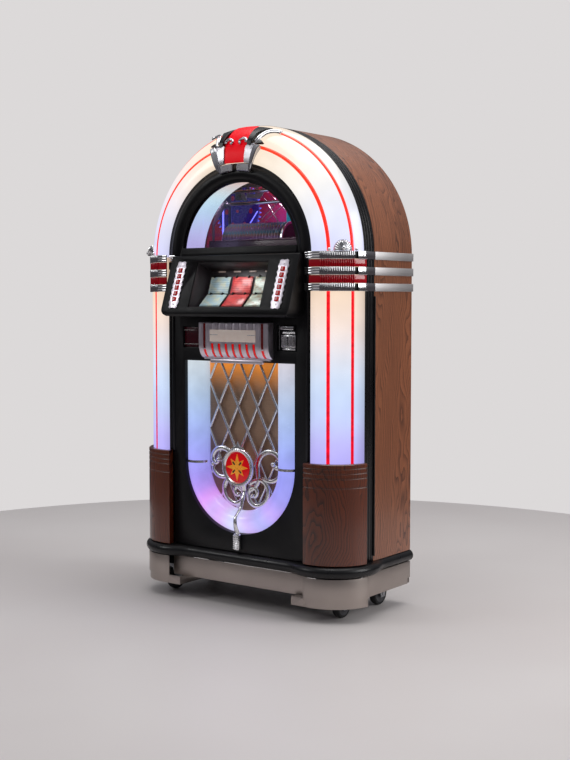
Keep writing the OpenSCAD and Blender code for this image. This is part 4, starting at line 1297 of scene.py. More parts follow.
def fan_parts(side, centre_z):
    """Half dome with ribs that spread from its foot, on the column at 45 degrees."""
    angle = radians(-45.3)
    out = Vector((side * cos(angle), sin(angle), 0))
    across = Vector((-side * sin(angle), cos(angle), 0))
    up = Vector((0, 0, 1))
    origin = Vector((side * COL_X, -COL_Y, centre_z)) + out * (COL_R + 0.6 * MM)
    ribs, per_rib, rings, size = 13, 8, 8, 30 * MM
    verts, faces = [], []
    count = ribs * per_rib
    for j in range(rings + 1):
        share = j / rings
        for i in range(count + 1):
            turn = pi * i / count
            wave = 0.5 + 0.5 * cos(tau * i / per_rib)
            reach = size * share * (1 - 0.05 * (1 - wave) * share)
            rise = 14 * MM * sqrt(max(0.0, 1 - share ** 2)) + 1 * MM
            rise -= 3.8 * MM * (1 - wave) * min(1.0, share * 2) * (1 - 0.4 * share)
            sag = (reach * cos(turn)) ** 2 / (2 * COL_R)
            verts.append(origin + across * (reach * cos(turn)) + up * (1.16 * reach * sin(turn))
                         + out * (max(rise, 0.6 * MM) - sag))
    wide = count + 1
    # Painted shade: the faces in the grooves between ribs are kept apart and take black lacquer.
    grooves = []
    for j in range(rings):
        for i in range(count):
            face = (j * wide + i, j * wide + i + 1, (j + 1) * wide + i + 1, (j + 1) * wide + i)
            (grooves if i % per_rib in (3, 4) and j else faces).append(face)
    rim = rings * wide
    back = len(verts)
    verts += [verts[rim + i] - out * 1.2 * MM for i in range(wide)]
    for i in range(count):
        faces.append((rim + i, rim + i + 1, back + i + 1, back + i))
    middle = len(verts)
    verts.append(origin.copy())
    for i in range(count):
        faces.append((back + i, back + i + 1, middle))
    column = [j * wide for j in range(rings + 1)]
    faces.append(tuple(column + [back, middle]))
    column = [j * wide + count for j in range(rings + 1)]
    faces.append(tuple(column + [back + count, middle]))
    knob = ball_parts(origin + out * 12.5 * MM + up * 8 * MM, 6.4 * MM)
    stem = tube_parts([origin + out * 11 * MM, origin + out * 13.5 * MM + up * 6 * MM], 3.0 * MM, 10)
    beads = []
    for offset in mm(-40, 40):
        turn = angle + offset / COL_R
        spot = Vector((side * (COL_X + (COL_R + 5 * MM) * cos(turn)),
                       -COL_Y + (COL_R + 5 * MM) * sin(turn), centre_z + 4.5 * MM))
        beads.append(ball_parts(spot, 5 * MM))
    blank = [(0.0, 0.0)] * len(verts)
    return [(verts, faces, blank), knob, stem] + beads, [(verts, grooves, blank)]


def ball_parts(centre, radius, steps=20):
    """A small ball, a little flatter than round."""
    profile = [(radius * cos(radians(a)), 0.96 * radius * sin(radians(a)))
               for a in range(-90, 91, 15)]
    profile[0] = (0.0, profile[0][1])
    profile[-1] = (0.0, profile[-1][1])
    return lathe(centre, (0, 0, 1), profile, steps)


def bright_bands():
    meshes = []
    wing = long_ribs(BAND_IN, 129 * MM, 0.6 * MM, STRIP_H - 0.6 * MM)
    plain = rounded_box(BAND_IN, 0.3 * MM, 126.4 * MM, STRIP_H - 0.3 * MM, 1.2 * MM, 3)
    dark = rounded_box(BAND_IN, 1.2 * MM, 124.4 * MM, STRIP_H - 1.2 * MM, 0.6 * MM, 2)
    plate = rounded_box(BAND_IN, 0.0, 129.5 * MM, STRIP_H, 1.5 * MM, 3)
    rib = upright_rib(RIB_OUT, 5.6 * MM, STRIP_H)
    screw_turn = radians(SCREW_TURN)
    for side in (-1, 1):
        parts = []
        painted_shade_gaps = []
        for z in STRIP_ZS:
            parts.append(sweep_parts(column_turn(side, z, *WING_TURN, 8), wing))
            parts.append(sweep_parts(column_turn(side, z, *RIB_TURN, 32), plain))
            # Painted shade: a black strip fills the notch between the ribs and the end plate.
            painted_shade_gaps.append(sweep_parts(column_turn(side, z, *GAP_TURN, 4), dark))
            parts.append(sweep_parts(column_turn(side, z, *END_TURN, 10), plate))
            flat = [(Vector((side * x, 0, z)), Vector((0, -1, 0)), Vector((0, 0, 1)), x)
                    for x in mm(258, 287)]
            parts.append(sweep_parts(flat, [(a + 23.5 * MM, b) for a, b in
                                            long_ribs(BAND_IN, 128 * MM, 1 * MM, STRIP_H - 1 * MM)]))
            spot = Vector((side * (COL_X + 129.4 * MM * cos(screw_turn)),
                           -COL_Y + 129.4 * MM * sin(screw_turn), z + STRIP_H / 2))
            facing = (side * cos(screw_turn), sin(screw_turn), 0)
            parts.append(screw_parts(spot, facing, 3.6 * MM, 1.2 * MM))
            edges = sorted((side * 409.5 * MM, side * 419.6 * MM))
            parts.append(block_parts((edges[0], -57 * MM, z),
                                     (edges[1], -52.6 * MM, z + STRIP_H), 1.2 * MM))
            edges = sorted((side * 409.5 * MM, side * 413 * MM))
            parts.append(block_parts((edges[0], -56 * MM, z + 0.3 * MM),
                                     (edges[1], -2.1 * MM, z + STRIP_H - 0.3 * MM), 0.9 * MM))
            from_deg, turn = rib_turns(side)
            ribs = in_a_ring([rib], RIB_COUNT, from_deg, turn, CHROME)
            meshes.append((ribs, Matrix.Translation((side * COL_X, -COL_Y, z))))
        fan, grooves = fan_parts(side, STRIP_ZS[2] + STRIP_H + 0.2 * MM)
        # The fan's grooves get black lacquer as painted shade.
        meshes.append((plain_mesh(fan, CHROME, grooves, BLACK), STILL))
        meshes.append((plain_mesh(parts, CHROME), STILL))
        meshes.append((plain_mesh(painted_shade_gaps, BLACK), STILL))
    return stands_for(from_meshes("bright_bands", meshes), "door", "chrome", "chrome_bands")


def red_band_pieces():
    parts = []
    meshes = []
    for side in (-1, 1):
        from_deg, turn = rib_turns(side)
        for low, high in zip(STRIP_ZS, STRIP_ZS[1:]):
            foot, tall = low + STRIP_H, high - low - STRIP_H
            section = rounded_box(BAND_IN, 0.1 * MM, 126 * MM, tall - 0.1 * MM, 0.8 * MM, 3)
            round_column = column_turn(side, foot, WING_TURN[0], END_TURN[1], 40)
            parts.append(sweep_parts(round_column, section))
            rib = upright_rib(RIB_OUT - 0.6 * MM, 5.0 * MM, tall)
            ribs = in_a_ring([rib], RIB_COUNT, from_deg, turn, BAND_RED)
            meshes.append((ribs, Matrix.Translation((side * COL_X, -COL_Y, foot))))
    meshes.append((plain_mesh(parts, BAND_RED), STILL))
    return stands_for(from_meshes("red_bands_finished", meshes), "door", "band_red", "red_bands")


bright_bands()
red_band_pieces()

# %% [markdown]
# ## Foot of the machine
# Turned walnut feet carry the columns. Below them a bull-nosed moulding follows the bulging
# corners, and nickel plates cover the plinth.

# %% Column feet, base moulding and plinth
def column_feet():
    low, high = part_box("pilaster_bases")[0].z, BASE_TOP - 0.1 * MM
    grooves = mm(412, 440, 455, 470)
    outer = [(BASE_R - 1.5 * MM, low), (BASE_R, low + 1.5 * MM)]
    for z in grooves:
        for i in range(7):
            turn = pi * i / 6
            depth = 2.5 * MM * sin(turn)
            outer.append((BASE_R - depth, z - 2.6 * MM * cos(turn)))
    outer += [(BASE_R, high - 2.5 * MM), (BASE_R - 2.5 * MM, high)]
    section = outer + [(112 * MM, high), (112 * MM, low)]
    parts = []
    for side in (-1, 1):
        frames = [(f[0], f[1], f[2], f[3] + (0.7 if side < 0 else 0.0))
                  for f in column_turn(side, 0.0, -100.5, -10.5, 40)]
        parts.append(sweep_parts(frames, section, swap=BASE_R))
    return stands_for(mesh_piece("column_feet", parts, [BASE_WALNUT], 30.0), "door", "walnut",
                      "pilaster_bases")


def moulding_path():
    """Right half of the moulding's edge from the back to the middle of the front."""
    reach, side_x, front_y = 148.8 * MM, 419 * MM, 162 * MM
    back = degrees(acos((side_x - COL_X) / reach))
    front = -180 + degrees(asin((front_y - COL_Y) / reach))
    y = -COL_Y + reach * sin(radians(back))
    points = [(side_x, BACK_Y - 0.5 * MM - (BACK_Y - y) * i / 18) for i in range(19)]
    steps = 44
    for i in range(1, steps + 1):
        angle = radians(back + (front - back) * i / steps)
        points.append((COL_X + reach * cos(angle), -COL_Y + reach * sin(angle)))
    last_x = points[-1][0]
    points += [(last_x * (1 - i / 20), -front_y) for i in range(1, 21)]
    whole = points + [(-x, y) for x, y in reversed(points[:-1])]
    for _ in range(6):
        mid = [((a[0] + 2 * b[0] + c[0]) / 4, (a[1] + 2 * b[1] + c[1]) / 4)
               for a, b, c in zip(whole, whole[1:], whole[2:])]
        whole = [whole[0]] + mid + [whole[-1]]
    return [Vector((x, y, 0)) for x, y in whole]


def base_nose():
    low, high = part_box("base_moulding")[0].z, BODY_Z
    tall = high - low
    radius = tall / 2
    section = [(-58 * MM, low + 0.2 * MM), (-radius, low + 0.2 * MM)]
    for i in range(1, 16):
        turn = -pi / 2 + pi * i / 16
        section.append((-radius + radius * cos(turn),
                        low + radius + (radius - 0.2 * MM) * sin(turn)))
    section += [(-radius, high - 0.2 * MM), (-58 * MM, high - 0.2 * MM)]
    path = moulding_path()
    frames = []
    along = 0.0
    for i, point in enumerate(path):
        direction = (path[min(i + 1, len(path) - 1)] - path[max(i - 1, 0)]).normalized()
        along += (point - path[max(i - 1, 0)]).length
        out = Vector((-direction.y, direction.x, 0))
        if out.dot(point) < 0:
            out = -out
        frames.append((point, out, Vector((0, 0, 1)), along))
    piece = mesh_piece("base_nose", [sweep_parts(frames, section)], [EDGE_BLACK])
    return stands_for(piece, "cabinet", "black_board", "base_moulding")


column_feet()
base_nose()
softened("plinth_plates", 0.7 * MM, NICKEL, "cabinet", "nickel")
softened("side_strips", 1.0 * MM, ALUMINIUM, "cabinet", "bright_strip")
softened("edge_moulding", 1.0 * MM, EDGE_BLACK, "door", "black_board")
softened("door_panel", 1.0 * MM, BLACK, "door", "black_board")

# %% [markdown]
# ## Crown over the arch
# The crown lies on the arch's own section. A place on it is (distance from the middle, distance
# back from the arch's front edge along its surface, height off the surface), so that a part of the
# crown is a list of such places.


# %% Red saddle, grey brackets and swept-back trim
def on_crown(x, back, height):
    """A point on the crown; back below 0 lies on the black ring in front of the arch."""
    if back < 0:
        radius = FRONT_HW + back
        depth = 155.6 * MM + height
    else:
        angle = radians(93.0) - back / ARCH_SEC_R
        radius = COL_X + (ARCH_SEC_R + height) * cos(angle)
        depth = COL_Y + (ARCH_SEC_R + height) * sin(angle)
    turn = x / radius
    return Vector((radius * sin(turn), -depth, ARCH_Z + radius * cos(turn)))


def crown_strip(stations, bevel=1.5 * MM, across=6):
    """A strip from stations (x_low, x_high, back, height_low, height_high), all in mm."""
    verts, faces = [], []
    for x0, x1, back, low, high in stations:
        x0, x1, back, low, high = (value * MM for value in (x0, x1, back, low, high))
        edge = min(bevel, (x1 - x0) / 4, (high - low) / 2)
        ring = [(x0, low), (x0, high - edge), (x0 + edge, high)]
        ring += [(x0 + edge + (x1 - x0 - 2 * edge) * i / across, high) for i in range(1, across)]
        ring += [(x1 - edge, high), (x1, high - edge), (x1, low)]
        ring += [(x1 + (x0 - x1) * i / across, low) for i in range(1, across)]
        verts += [on_crown(x, back, height) for x, height in ring]
    wide = len(verts) // len(stations)
    for i in range(len(stations) - 1):
        for j in range(wide):
            k = (j + 1) % wide
            faces.append((i * wide + j, i * wide + k, (i + 1) * wide + k, (i + 1) * wide + j))
    last = (len(stations) - 1) * wide
    faces += [tuple(range(wide)), tuple(last + j for j in range(wide))]
    return verts, faces, [(v.x, v.y) for v in verts]


def between(stations, steps=5):
    """Fills in stations between the given ones."""
    filled = []
    for first, second in zip(stations, stations[1:]):
        for i in range(steps):
            share = i / steps
            filled.append(tuple(a + (b - a) * share for a, b in zip(first, second)))
    return filled + [stations[-1]]


def smooth_path(points, per=6):
    """Points on a smooth curve through the given ones."""
    points = [Vector(p) for p in points]
    ends = [points[0] * 2 - points[1]] + points + [points[-1] * 2 - points[-2]]
    smooth = []
    for p0, p1, p2, p3 in zip(ends, ends[1:], ends[2:], ends[3:]):
        for i in range(per):
            t = i / per
            smooth.append(0.5 * (2 * p1 + (p2 - p0) * t + (2 * p0 - 5 * p1 + 4 * p2 - p3) * t ** 2
                                 + (3 * p1 - p0 - 3 * p2 + p3) * t ** 3))
    return smooth + [points[-1]]


def crown_saddle():
    front = [(-38, 38, 1.5, 0.5, 5), (-38, 38, 3, 0.5, 8), (-39, 39, 30, 0.5, 8.5),
             (-41, 41, 48, 0.5, 8), (-46, 46, 62, 0.5, 8)]
    top = [(-46, 46, 90, 0.5, 8), (-44, 44, 120, 0.5, 7.5), (-42, 42, 138, 0.5, 6)]
    piece = mesh_piece("crown_saddle_finished", [crown_strip(between(front + top, 4))], [CROWN_RED])
    return stands_for(piece, "door", "crown_red", "crown_saddle")


def crown_side(side):
    """One side's grey bracket, as (steel parts, black parts, mirror-bright parts)."""
    def both(stations):
        return [(min(side * a, side * b), max(side * a, side * b), back, low, high)
                for a, b, back, low, high in stations]

    foot = [(8, 61, -25, 0.3, 6), (8, 61, -23, 0.3, 9), (8, 62, -3, 0.3, 10)]
    plate = [(38.5, 62, 0, 0.5, 11), (39, 66, 25, 0.5, 12), (42, 72, 46, 0.5, 14),
             (47, 77, 54, 0.5, 15), (52, 76, 58, 0.5, 14)]
    curl = [(40, 58, 12), (40, 64, 13), (34, 69, 14), (25, 70, 14), (16, 66, 13), (13, 60, 13),
            (17, 56, 13)]
    steel = [crown_strip(both(between(foot, 3))), crown_strip(both(between(plate, 3)))]
    path = [on_crown(side * x * MM, back * MM, height * MM) for x, back, height in smooth_path(curl, 5)]
    thin = [1.0 - 0.45 * i / (len(path) - 1) for i in range(len(path))]
    steel.append(tube_parts(path, 6.0 * MM, 12, 1.0, thin, (0, -0.7, 0.7)))
    steel.append(ball_parts(path[-1], 4.6 * MM))
    ribs = []
    for i in range(4):
        line = [(58 + i * 2.4, -22 + i * 3, 9 + i), (66 + i * 3.4, 12, 12 + i),
                (76 + i * 4.4, 42, 15 + i), (84 + i * 4, 54, 16)]
        points = smooth_path([on_crown(side * x * MM, b * MM, h * MM) for x, b, h in line], 5)
        ribs.append(tube_parts(points, 3.6 * MM, 10, 1.0, None, (0, -0.7, 0.7)))
    web = [(56, 62, -20, 1, 8), (58, 74, 15, 1, 11), (62, 88, 42, 1, 14), (70, 96, 56, 2, 14)]
    steel.append(crown_strip(both(between(web, 4))))
    tip = [(78, 82, 58, 8, 18), (80, 100, 63, 6, 16), (84, 104, 67, 5, 15), (88, 96, 72, 5, 13)]
    flank = [(46.5, 62, 50, 0.5, 15), (48, 67, 64, 0.5, 20), (47, 70, 90, 0.5, 16),
             (44, 84, 116, 0.5, 10), (42.5, 98, 136, 0.5, 5)]
    black = [crown_strip(both(between(tip, 3))), crown_strip(both(between(flank, 4)))]
    sweep_line = [(72, 66, 12), (78, 80, 11), (84, 94, 9), (92, 108, 8), (104, 120, 6.5),
                  (118, 128, 5.5), (132, 130, 5)]
    bright = []
    for shift in (0.0, 7.0):
        line = [on_crown(side * (x + shift * 0.7) * MM, (b - shift) * MM, h * MM) for x, b, h in sweep_line]
        bright.append(tube_parts(smooth_path(line, 5), 4.2 * MM, 12, 0.8))
    bright.append(ball_parts(on_crown(side * 135 * MM, 128 * MM, 5 * MM), 6.5 * MM))
    return steel, black, bright, ribs


def crown_brackets():
    meshes = []
    for side in (-1, 1):
        steel, black, bright, ribs = crown_side(side)
        meshes.append((plain_mesh(steel, SATIN_CHROME), STILL))
        meshes.append((plain_mesh(black, EDGE_BLACK), STILL))
        meshes.append((plain_mesh(bright + ribs, CHROME), STILL))
    return stands_for(from_meshes("crown_brackets_finished", meshes), "door", "chrome",
                      "crown_brackets")


crown_saddle()
crown_brackets()

# %% [markdown]
# ## Title pod
# The pod's face leans back. Its recess is a dark box with booklets at the back: the upper row
# stands and the lower row leans out at the foot. A scalloped plate with six keys is on each side.

# %% Pod, booklets, key plates and keys
POD_TILT = 19.03
POD_FACE = Matrix.Translation(mm(0, -197, 1025)) @ Matrix.Rotation(
    radians(90 - POD_TILT), 4, "X")
RECESS = 72 * MM
KEY_X = 203 * MM
KEY_PITCH = 19.2 * MM
KEY_FIRST = 44 * MM


def title_pod():
    """The pod with its recess cut right through to the back, and its edges rounded."""
    cutter_mesh = bpy.data.meshes.new("cutter")
    verts, faces, _ = block_parts((-142 * MM, -78 * MM, -RECESS - 10 * MM),
                                  mm(142, 72, 30), 0.0, POD_FACE)
    cutter_mesh.from_pydata(verts, [], faces)
    cutter = place_object("cutter", cutter_mesh)
    return softened("title_pod", 1.8 * MM, POD_BLACK, "door", "inlet_plastic", cutter=cutter)


def booklet(u0, u1, v0, v1, depth, lean):
    """Three leaves of paper on a hinge line; returns a thin page with a share-based UV map."""
    pivot = Matrix.Translation((0, v1, -depth)) @ Matrix.Rotation(radians(lean), 4, "X")
    parts = []
    for layer, inset in ((0.0, 0.0), mm(1.3, 1.2), mm(2.4, 2.6)):
        low = (u0 + inset, v0 - v1 + inset, layer)
        high = (u1 - inset, -inset, layer + 1.1 * MM)
        verts, faces, _ = block_parts(low, high, 0.25 * MM)
        uvs = [((v.x - u0) / (u1 - u0), (v.y - (v0 - v1)) / (v1 - v0)) for v in verts]
        parts.append(([POD_FACE @ (pivot @ v) for v in verts], faces, uvs))
    return join_parts(parts)


def title_cards():
    wall = 2 * MM
    parts = []
    marks = []
    box_low, box_high = Vector((-141.4, -77.4, 0)) * MM, Vector((141.4, 71.4, 0)) * MM
    slabs = [((box_low.x, box_low.y, -RECESS - wall), (box_high.x, box_high.y, -RECESS)),
             ((box_low.x, box_low.y, -RECESS), (box_low.x + wall, box_high.y, -3 * MM)),
             ((box_high.x - wall, box_low.y, -RECESS), (box_high.x, box_high.y, -3 * MM)),
             ((box_low.x, box_low.y, -RECESS), (box_high.x, box_low.y + wall, -3 * MM)),
             ((box_low.x, box_high.y - wall, -RECESS), (box_high.x, box_high.y, -3 * MM))]
    for low, high in slabs:
        parts.append(block_parts(low, high, 0.4 * MM, POD_FACE))
        marks.append(0)
    finishes = {-1: 1, 0: 2, 1: 3}
    for column in (-1, 0, 1):
        u0, u1 = (column * 90 - 40) * MM, (column * 90 + 40) * MM
        parts.append(booklet(u0, u1, -10 * MM, 46 * MM, RECESS - 4 * MM, 0.0))
        parts.append(booklet(u0, u1, -70 * MM, -14 * MM, RECESS - 6 * MM, -30.0))
        marks += [finishes[column]] * 2
        for v in mm(47, -11):
            for u in (u0 + 16 * MM, u1 - 16 * MM):
                clip = block_parts((u - 2.5 * MM, v - 5 * MM, -RECESS + 3 * MM),
                                   (u + 2.5 * MM, v + 3 * MM, -RECESS + 13 * MM), 0.6 * MM, POD_FACE)
                parts.append(clip)
                marks.append(4)
    for i in range(4):
        u = (-93 + i * 62) * MM
        parts.append(block_parts((u - 14 * MM, 62 * MM, -RECESS + 1 * MM),
                                 (u + 14 * MM, 67 * MM, -RECESS + 4 * MM), 1 * MM, POD_FACE))
        marks.append(5)
    piece = mesh_piece("title_cards_finished", parts,
                       [RECESS_BROWN, CARD_BLUE, CARD_RED, CARD_GREEN, INLET_BLACK, DIM_LAMP],
                       face_material=marks)
    return stands_for(piece, "door", "card_print", "title_cards")


def scalloped_outline(side):
    half, wave = 18.6 * MM, 1.8 * MM
    right = []
    for i in range(67):
        v = (-66 + 2 * i) * MM
        right.append((half + wave * cos(tau * (v + 57.6 * MM) / KEY_PITCH), v))
    tail = mm_points((16, 69), (17, 75), (11, 79), (0.0, 77))
    upper = right + tail
    left_upper = [(-x, v) for x, v in reversed(upper[:-1])]
    top = upper + left_upper
    lower_tail = [(-x, -v) for x, v in tail]
    lower = lower_tail + [(-x, v) for x, v in reversed(lower_tail[:-1])]
    outline = top + lower
    return [(side * KEY_X + x, v - 4 * MM) for x, v in outline]


def key_strips():
    parts = []
    for side in (-1, 1):
        outlines = [scalloped_outline(side)]
        for i in range(6):
            u, v, half = side * KEY_X, KEY_FIRST - i * KEY_PITCH, 7.5 * MM
            outlines.append([(u - half, v - half), (u + half, v - half), (u + half, v + half),
                             (u - half, v + half)])
        parts.append(plate_parts(outlines, 3.4 * MM, 0.6 * MM, POD_FACE))
        normal = POD_FACE.to_3x3() @ Vector((0, 0, 1))
        for v in mm(61, -69):
            spot = POD_FACE @ Vector((side * KEY_X, v, 3.4 * MM))
            parts.append(screw_parts(spot, normal, 3.6 * MM, 1.6 * MM))
    return stands_for(mesh_piece("key_plates", parts, [RIB_METAL]), "door", "chrome", "key_strips")


def key_cap(side, index):
    name = f"key_{'left' if side < 0 else 'right'}_{index + 1}"
    u, v, half = side * KEY_X, KEY_FIRST - index * KEY_PITCH, 6.9 * MM
    cap = block_parts((u - half, v - half, -11.8 * MM), (u + half, v + half, 6.8 * MM), 1.5 * MM, POD_FACE)
    ring = [(u - 2.6 * MM, v - 3.2 * MM), (u + 2.6 * MM, v - 3.2 * MM), (u + 2.6 * MM, v + 3.2 * MM),
            (u - 2.6 * MM, v + 3.2 * MM)]
    hole = [(u - 1.3 * MM, v - 1.8 * MM), (u + 1.3 * MM, v - 1.8 * MM), (u + 1.3 * MM, v + 1.8 * MM),
            (u - 1.3 * MM, v + 1.8 * MM)]
    lift = POD_FACE @ Matrix.Translation(mm(0, 0, 6.5))
    mark = plate_parts([ring, hole], 0.5 * MM, 0.1 * MM, lift)
    piece = mesh_piece(name + "_cap", [cap, mark], [KEY_RED, KEY_MARK], face_material=[0, 1])
    return stands_for(piece, name, "key_red", name)


title_pod()
title_cards()
key_strips()
for key_side in (-1, 1):
    for key_index in range(6):
        key_cap(key_side, key_index)

# %% [markdown]
# ## Selector grille and coin entry
# The selector is a bright box with upright ribs that run over its top, down its face and round its lower
# curve. Red inserts with a painted red glow sit in its channels, and a plain cream plate with a faint
# painted glow is across its middle.

# %% Selector grille
SELECT_HW = 138 * MM
SELECT_TOP, SELECT_BEND, SELECT_LOW = 903 * MM, 837 * MM, 792 * MM
SELECT_OUT = 27 * MM
INSERTS = [(i - 3) * 27.5 * MM for i in range(7)]
LONG_INSERTS = mm(-115, 115)


def selector_path():
    """Side view of the selector as (depth, height, normal ahead, normal up)."""
    path = [(FRONT, SELECT_TOP, 0.0, 1.0), (FRONT + SELECT_OUT - 2 * MM, SELECT_TOP, 0.0, 1.0)]
    for a in (30, 60):
        turn = radians(a)
        path.append((FRONT + SELECT_OUT - 2 * MM + 2 * MM * sin(turn),
                     SELECT_TOP - 2 * MM + 2 * MM * cos(turn), sin(turn), cos(turn)))
    for i in range(7):
        z = SELECT_TOP - 2 * MM - (SELECT_TOP - 2 * MM - SELECT_BEND) * i / 6
        path.append((FRONT + SELECT_OUT, z, 1.0, 0.0))
    tall = SELECT_BEND - SELECT_LOW
    for i in range(1, 15):
        turn = radians(90 * i / 14)
        ahead, up = cos(turn) / SELECT_OUT, -sin(turn) / tall
        size = hypot(ahead, up)
        path.append((FRONT + SELECT_OUT * cos(turn), SELECT_BEND - tall * sin(turn),
                     ahead / size, up / size))
    return path


def rib_height(x):
    """How far the ribbed face stands out at x; channels are between groups of three ribs."""
    channel = min([abs(x - c) for c in INSERTS] + [abs(x - c) for c in LONG_INSERTS])
    if channel < 4.6 * MM:
        return -1.6 * MM
    return 2.2 * MM * abs(sin(pi * (channel - 4.6 * MM) / (4.6 * MM)))


def ribbon_parts(x0, x1, path, lift):
    """A strip of the selector's surface, as a thin solid."""
    verts, faces = [], []
    for depth, z, ahead, up in path:
        for x, height in ((x0, lift - 1 * MM), (x0, lift - 0.4 * MM), (x0 + 0.8 * MM, lift),
                          (x1 - 0.8 * MM, lift), (x1, lift - 0.4 * MM), (x1, lift - 1 * MM)):
            verts.append(Vector((x, -(depth + ahead * height), z + up * height)))
    for i in range(len(path) - 1):
        for j in range(6):
            k = (j + 1) % 6
            faces.append((i * 6 + j, i * 6 + k, i * 6 + 6 + k, i * 6 + 6 + j))
    last = (len(path) - 1) * 6
    faces += [tuple(range(6)), tuple(last + j for j in range(6))]
    return verts, faces, [(v.x, v.z) for v in verts]


def selector():
    path = selector_path()
    columns = 220
    verts, faces = [], []
    for depth, z, ahead, up in path:
        for i in range(columns + 1):
            x = -SELECT_HW + 2 * SELECT_HW * i / columns
            height = rib_height(x) if 0 < i < columns else 0.0
            verts.append(Vector((x, -(depth + ahead * height), z + up * height)))
    wide = columns + 1
    for i in range(len(path) - 1):
        for j in range(columns):
            faces.append((i * wide + j, i * wide + j + 1, (i + 1) * wide + j + 1, (i + 1) * wide + j))
    faces.append(tuple(i * wide for i in range(len(path))))
    faces.append(tuple(i * wide + columns for i in range(len(path))))
    last = (len(path) - 1) * wide
    faces.append(tuple(range(wide)) + tuple(last + j for j in reversed(range(wide))))
    face = (verts, faces, [(v.x, v.z) for v in verts])
    lower = [p for p in path if p[1] < 838 * MM and p[1] > 794 * MM]
    above = [p for p in path[4:] if p[1] > 818 * MM]
    below = [p for p in path if p[1] < 822 * MM and p[1] > 794 * MM]
    inserts = [ribbon_parts(x - 4 * MM, x + 4 * MM, lower, 0.9 * MM) for x in INSERTS]
    inserts += [ribbon_parts(x - 4.2 * MM, x + 4.2 * MM, below, 0.9 * MM) for x in LONG_INSERTS]
    dark = [ribbon_parts(x - 4.2 * MM, x + 4.2 * MM, above, 0.8 * MM) for x in LONG_INSERTS]
    dark += [ribbon_parts(x - 6.2 * MM, x + 6.2 * MM, lower, 0.6 * MM) for x in INSERTS]
    plate = block_parts((-91 * MM, -(FRONT + SELECT_OUT + 3.4 * MM), 843 * MM),
                        (91 * MM, -(FRONT + SELECT_OUT - 1 * MM), 881 * MM), 1.2 * MM)
    line = block_parts((-90 * MM, -(FRONT + SELECT_OUT + 3.9 * MM), 864 * MM),
                       (-58 * MM, -(FRONT + SELECT_OUT + 2 * MM), 866 * MM), 0.4 * MM)
    line_right = block_parts((60 * MM, -(FRONT + SELECT_OUT + 3.9 * MM), 864 * MM),
                             (90 * MM, -(FRONT + SELECT_OUT + 2 * MM), 866 * MM), 0.4 * MM)
    bar = block_parts((-104 * MM, -(FRONT + 12 * MM), 775 * MM),
                      (104 * MM, -FRONT, 787 * MM), 2.5 * MM)
    lip = block_parts((-132 * MM, -(FRONT + 8 * MM), 786 * MM), (132 * MM, -FRONT, 793 * MM), 1.5 * MM)
    parts = [face] + inserts + dark + [plate, line, line_right, bar, lip]
    marks = [0] + [1] * len(inserts) + [4] * len(dark) + [2, 3, 3, 0, 0]
    finishes = [RIB_METAL, INSERT_RED, NAMEPLATE, SATIN_CHROME, DARK_RED]
    piece = mesh_piece("selector_finished", parts, finishes,
                       face_material=marks)
    return stands_for(piece, "door", "chrome", "selector_grille")


def lobe(x, low, high, radius, back):
    """An upright half-round bar with domed ends."""
    section = [(radius * sin(pi * i / 12), -radius * cos(pi * i / 12))
               for i in range(13)]
    levels = [(low, 0.55), (low + 1.2 * MM, 0.85), (low + 3 * MM, 1.0), (high - 3 * MM, 1.0),
              (high - 1.2 * MM, 0.85), (high, 0.55)]
    frames = [(Vector((x, back, z)), Vector((0, -1, 0)), Vector((1, 0, 0)), z, s) for z, s in levels]
    return sweep_parts(frames, section)


def coin_entry():
    back = -(FRONT - 10 * MM)
    plate = block_parts((163 * MM, back - 3.5 * MM, 829 * MM), (217 * MM, back, 867 * MM), 1.4 * MM)
    lobes = [lobe(177.5 * MM, 831 * MM, 865 * MM, 11 * MM, back - 2 * MM),
             lobe(202.5 * MM, 831 * MM, 865 * MM, 11 * MM, back - 2 * MM)]
    # The coin slot is a black block: painted shade for the opening.
    slot = block_parts((188.4 * MM, back - 5 * MM, 834 * MM),
                       (191.6 * MM, back - 3 * MM, 862 * MM), 0.4 * MM)
    upper, lower = [lathe_bar((170 * MM, back - 4 * MM, z), (219 * MM, back - 4 * MM, z), radius)
                    for z, radius in mm_points((874, 4.2), (823.5, 3.4))]
    line = tube_parts([(155 * MM, back - 1.5 * MM, 822 * MM), (155 * MM, back - 1.5 * MM, 895 * MM)],
                      1.2 * MM, 10)
    window = block_parts((-225 * MM, -(FRONT - 6 * MM), 823 * MM),
                         (-153 * MM, -(FRONT - 8.2 * MM), 887 * MM), 1 * MM)
    rail_y = -(FRONT - 4.5 * MM)
    rails = [tube_parts([(-224 * MM, rail_y, z), (-154 * MM, rail_y, z)], 1.3 * MM, 8)
             for z in mm(832, 877)]
    parts = [plate] + lobes + [slot, upper, lower, line, window] + rails
    piece = mesh_piece("coin_entry", parts, [ROD_SILVER, INLET_BLACK, CREDIT_RED],
                       face_material=[0, 0, 0, 1, 0, 0, 0, 2, 2, 2])
    return stands_for(piece, "door", "chrome", "coin_fittings")


def lathe_bar(start, end, radius):
    """A short round bar with rounded ends."""
    start, end = Vector(start), Vector(end)
    length = (end - start).length
    axis = (end - start).normalized()
    profile = [(0.0, 0.0)]
    for a in (20, 50, 90):
        turn = radians(a)
        profile.append((radius * sin(turn), 2 * MM * (1 - cos(turn))))
    for a in (90, 50, 20):
        turn = radians(a)
        profile.append((radius * sin(turn), length - 2 * MM * (1 - cos(turn))))
    profile.append((0.0, length))
    return lathe(start, axis, profile, 20)


selector()
coin_entry()
softened("reject_button", 1.5 * MM, CHROME, "reject_button", "chrome")

# %% [markdown]
# ## Speaker grille
# Cloth is stretched behind a lattice of bright rods. A cast ornament hangs over its lower half:
# a red medallion with a star, scrolls on each side, a stem and a ribbed tab.


